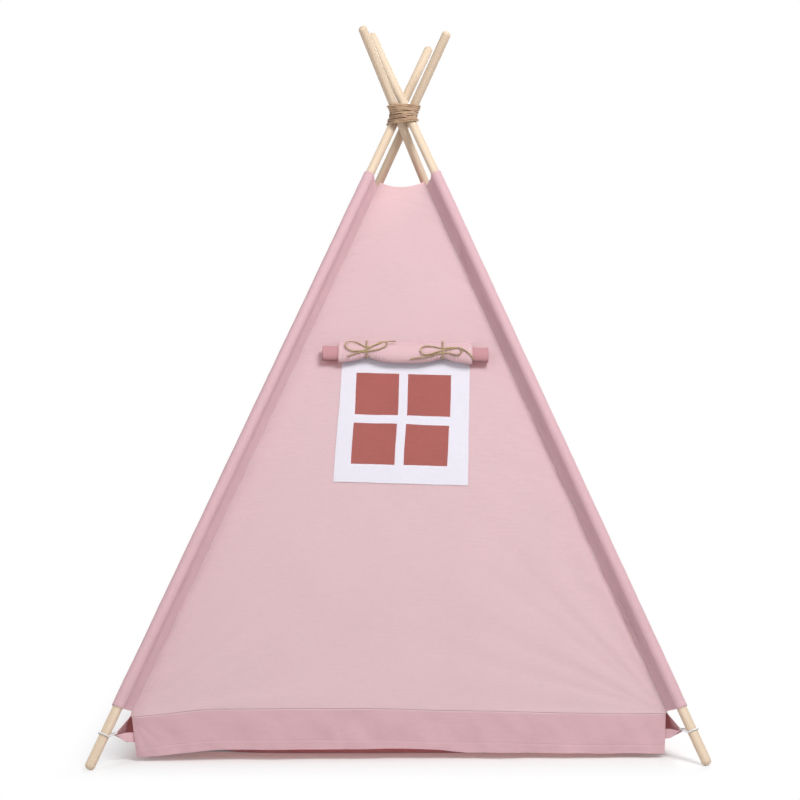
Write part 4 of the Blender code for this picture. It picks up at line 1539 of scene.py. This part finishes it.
def makeElastic(k):
    pole = poles[k]
    lean = math.acos(pole["up"].z)
    around = pole["radius"] + elastic["clear"] + elastic["diameter"] / 2
    apart = (elastic["reach"] - elastic["bend"]) * math.cos(lean)
    touch = math.acos((around - elastic["bend"]) / apart)
    points = []
    for n in range(41):
        angle = touch + (2 * math.pi - 2 * touch) * n / 40
        points.append((around * math.cos(angle), around * math.sin(angle)))
    for n in range(13):
        angle = -touch + 2 * touch * n / 12
        points.append((apart + elastic["bend"] * math.cos(angle), elastic["bend"] * math.sin(angle)))
    route = []
    for x, y in points:
        rise = elastic["fromFoot"] + max(0.0, x) * math.tan(lean)
        route.append(pole["foot"] + pole["inward"] * x + pole["across"] * y + pole["up"] * rise)
    route.append(route[0])
    name = cornerName("elastic", k)
    piece, route, total = makeTwine(name, route, elastic["diameter"], plies=2, lay=0.006,
                                    closed=True, depth=0.06)
    finishPiece(piece, elasticFinish(name + "Finish"), "elastic", "mat", ["elastic_" + tent["corners"][k]])
    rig.squash(piece, "frame_fold", axis=(0, 0, 1), anchor=(0, 0, 0), keep=0.25)


for k in range(4):
    makeElastic(k)
print("elastics done")

# Floor mat

mat = {
    "half": 0.480,
    "thickness": 0.0075,
    "round": 0.038,
    "tipPast": -0.003,
    "tipDrop": -0.008,
    "cells": 150,
    "quilt": 0.16,
}
signs = [(-1, -1), (1, -1), (1, 1), (-1, 1)]


def makeMat():
    def pattern(u, v):
        return (2 * u - 1) * mat["half"], (2 * v - 1) * mat["half"]

    def place(x, y):
        u, v = x / mat["half"], y / mat["half"]
        corner = next(k for k in range(4) if signs[k][0] * u >= 0 and signs[k][1] * v >= 0)
        both = abs(u * v)
        reach = mat["half"] - mat["round"] * both ** 4
        tip = cornerTip(corner, mat["tipPast"])
        tip.z += mat["tipDrop"]
        end = Vector((signs[corner][0], signs[corner][1], 0)) * (mat["half"] - mat["round"])
        pull = (tip - end) * both ** 24
        pull.z = tip.z * max(0.0, both - 0.5) ** 5 / 0.5 ** 5
        return Vector((u * reach, v * reach, 0.0)) + pull

    def crowd(share):
        side = 2 * share - 1
        return (1 + math.copysign(1 - (1 - abs(side)) ** 1.5, side)) / 2

    cells = mat["cells"]
    piece = makeGrid("floorMat", cells, cells, lambda u, v: pattern(crowd(u), crowd(v)), place)
    area = flatArea(piece)
    count = len(piece.data.vertices)
    thicken(piece, mat["thickness"], 1)
    # the top puffs up between the quilting lines
    for vert in piece.data.vertices:
        lines = [vert.co[n] / mat["quilt"] for n in (0, 1)]
        near = [abs(line - round(line)) * mat["quilt"] for line in lines]
        edge = mat["half"] - max(abs(vert.co.x), abs(vert.co.y))
        low = min(near[0], near[1], max(0.0, edge))
        top = vert.index < count
        if top:
            vert.co.z -= 0.0035 * math.exp(-low / 0.010)
        for k in range(4):
            tip = cornerTip(k, mat["tipPast"])
            away = (vert.co.xy - tip.xy).length
            if away < 0.2:
                swell = fade(away, 0.002, 0.03) * (1 - fade(away, 0.08, 0.2))
                middle = tip.z + mat["tipDrop"] + mat["thickness"] / 2
                vert.co.z += 0.004 * swell if top else -min(vert.co.z, 0.011 * swell)
                vert.co.z += (middle - vert.co.z) * 0.8 * (1 - fade(away, 0.0, 0.014))
    stitches = []
    for n in range(-2, 3):
        line = n * mat["quilt"]
        stitches.append(((line, -mat["half"]), (line, mat["half"])))
        stitches.append(((-mat["half"], line), (mat["half"], line)))
    material = cottonFinish("floorMatCotton", cotton["mat"], stitches, "opaque", crumple=1.5)
    finishPiece(piece, material, "mat_cotton", "mat", ["floor_mat"])
    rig.sheet(piece, flat=(2 * mat["half"], 2 * mat["half"]), held="laid", area=area * 0.999, rests_on=[])
    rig.squash(piece, "frame_fold", axis=(0, 0, 1), anchor=(0, 0, 0), keep=0.30)


makeMat()
print("mat done")

# Poles: round rods with rounded ends, in place of the CAD's flats


def makePole(k):
    pole = poles[k]
    bpy.ops.object.select_all(action="DESELECT")
    bpy.ops.mesh.primitive_cylinder_add(vertices=48, radius=pole["radius"], depth=pole["length"])
    piece = bpy.context.object
    piece.name = cornerName("pole", k)
    rounding = piece.modifiers.new("rounding", "BEVEL")
    rounding.limit_method = "ANGLE"  # only the rims of the two ends are that sharp
    rounding.angle_limit = math.radians(40)
    rounding.width = pole["radius"] * 0.8
    rounding.segments = 7
    bpy.ops.object.modifier_apply(modifier=rounding.name)
    editAll(piece)
    for n in range(1, wood["cuts"]):
        bpy.ops.mesh.select_all(action="SELECT")
        height = pole["length"] * (n / wood["cuts"] - 0.5)
        bpy.ops.mesh.bisect(plane_co=(0, 0, height), plane_no=(0, 0, 1))
    leaveEdit()
    turn = Matrix((pole["across"], pole["inward"], pole["up"])).transposed()
    middle = pole["foot"] + pole["up"] * (pole["length"] / 2)
    piece.data.transform(Matrix.Translation(middle) @ turn.to_4x4())
    if turn.determinant() < 0:
        piece.data.flip_normals()
    node = "pole_" + tent["corners"][k]
    finishPiece(piece, woodFinish(piece.name + "Wood", pole, 3.7 * k), "pine", node, [node], angle=30)


for k in range(4):
    makePole(k)
print("poles done")

# Stage and light

light = {
    "world": 0.41,
    "key": {"place": (1.3, -2.6, 3.6), "aim": (0.1, -0.1, 0.9), "size": 1.6, "power": 125},
    "fill": {"place": (-2.8, -3.0, 2.2), "aim": (0, 0, 0.9), "size": 2.6, "power": 28},
    "back": {"place": (0.9, 3.3, 2.7), "aim": (0, 0, 0.7), "size": 2.4, "power": 98},
    # close to the tent's foot the grey floor with its faint glow stays grey even where lit: a painted shadow round the
    # base, on top of the rendered one
    "floor": (0.72, 0.72, 0.72, 1),
    "floorGlow": 0.12,
    "fadeFrom": 0.49,  # the floor turns white from here, measured square from the middle
    "fadeTo": 0.71,
}


def seenDirectly(finish):
    # 1 for what the camera sees, straight or through a reflection
    path = finish.node("LightPath", output="Is Camera Ray")
    glossy = finish.node("LightPath", output="Is Glossy Ray")
    clear = finish.node("LightPath", output="Is Transmission Ray")
    return path.math("MAXIMUM", glossy).math("MAXIMUM", clear)


def makeFloor():
    bpy.ops.object.select_all(action="DESELECT")
    bpy.ops.mesh.primitive_grid_add(x_subdivisions=8, y_subdivisions=8, size=60)
    floor = bpy.context.object
    floor.name = "floor"
    finish = Finish("floorPale", 1.0)
    finish.paint(light["floor"])
    place = finish.node("TexCoord", output="Object")
    x, y = finish.split(place, 2)
    # inside this square the floor keeps only the faint glow and stays grey, painted shade round the tent's foot;
    # further out it turns white
    away = abs(x).math("MAXIMUM", abs(y))
    seen = seenDirectly(finish)
    principled = Wire(finish, finish.shader.outputs[0])
    glow = finish.node("Emission", inputs={1: seen * light["floorGlow"]})
    near = finish.node("AddShader", inputs={0: principled, 1: glow})
    white = finish.node("Emission", inputs={1: 1.0})
    far = away.between(light["fadeFrom"], light["fadeTo"]) * seen
    both = finish.node("MixShader", inputs={0: far, 1: near, 2: white})
    finish.surface(both)
    floor.data.materials.append(finish.material)
    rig.stage(floor)


def makeLamp(name, settings):
    bpy.ops.object.select_all(action="DESELECT")
    bpy.ops.object.light_add(type="AREA", location=settings["place"])
    lamp = bpy.context.object
    lamp.name = name
    lamp.data.shape = "DISK"
    lamp.data.size = settings["size"]
    lamp.data.energy = settings["power"]
    way = Vector(settings["aim"]) - Vector(settings["place"])
    lamp.rotation_euler = way.to_track_quat("-Z", "Y").to_euler()


def makeWorld():
    world = bpy.data.worlds.new("studio")
    bpy.context.scene.world = world
    world.use_nodes = True
    tree = world.node_tree
    background = tree.nodes["Background"]
    background.inputs["Color"].default_value = (1, 1, 1, 1)
    path = tree.nodes.new("ShaderNodeLightPath")
    seen = tree.nodes.new("ShaderNodeMath")
    seen.operation = "MAXIMUM"
    tree.links.new(path.outputs["Is Camera Ray"], seen.inputs[0])
    tree.links.new(path.outputs["Is Glossy Ray"], seen.inputs[1])
    strength = tree.nodes.new("ShaderNodeMapRange")
    strength.inputs["To Min"].default_value = light["world"]
    strength.inputs["To Max"].default_value = 1.0
    tree.links.new(seen.outputs[0], strength.inputs["Value"])
    tree.links.new(strength.outputs[0], background.inputs["Strength"])


makeFloor()
makeLamp("keyLamp", light["key"])
makeLamp("fillLamp", light["fill"])
makeLamp("backLamp", light["back"])
makeWorld()
bpy.context.scene.view_settings.view_transform = "Standard"
print("stage done")

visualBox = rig.bounds()
with open("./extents.json", "w") as file:
    json.dump({"cad": [list(c) for c in cadBox], "visual": [list(c) for c in visualBox]}, file)
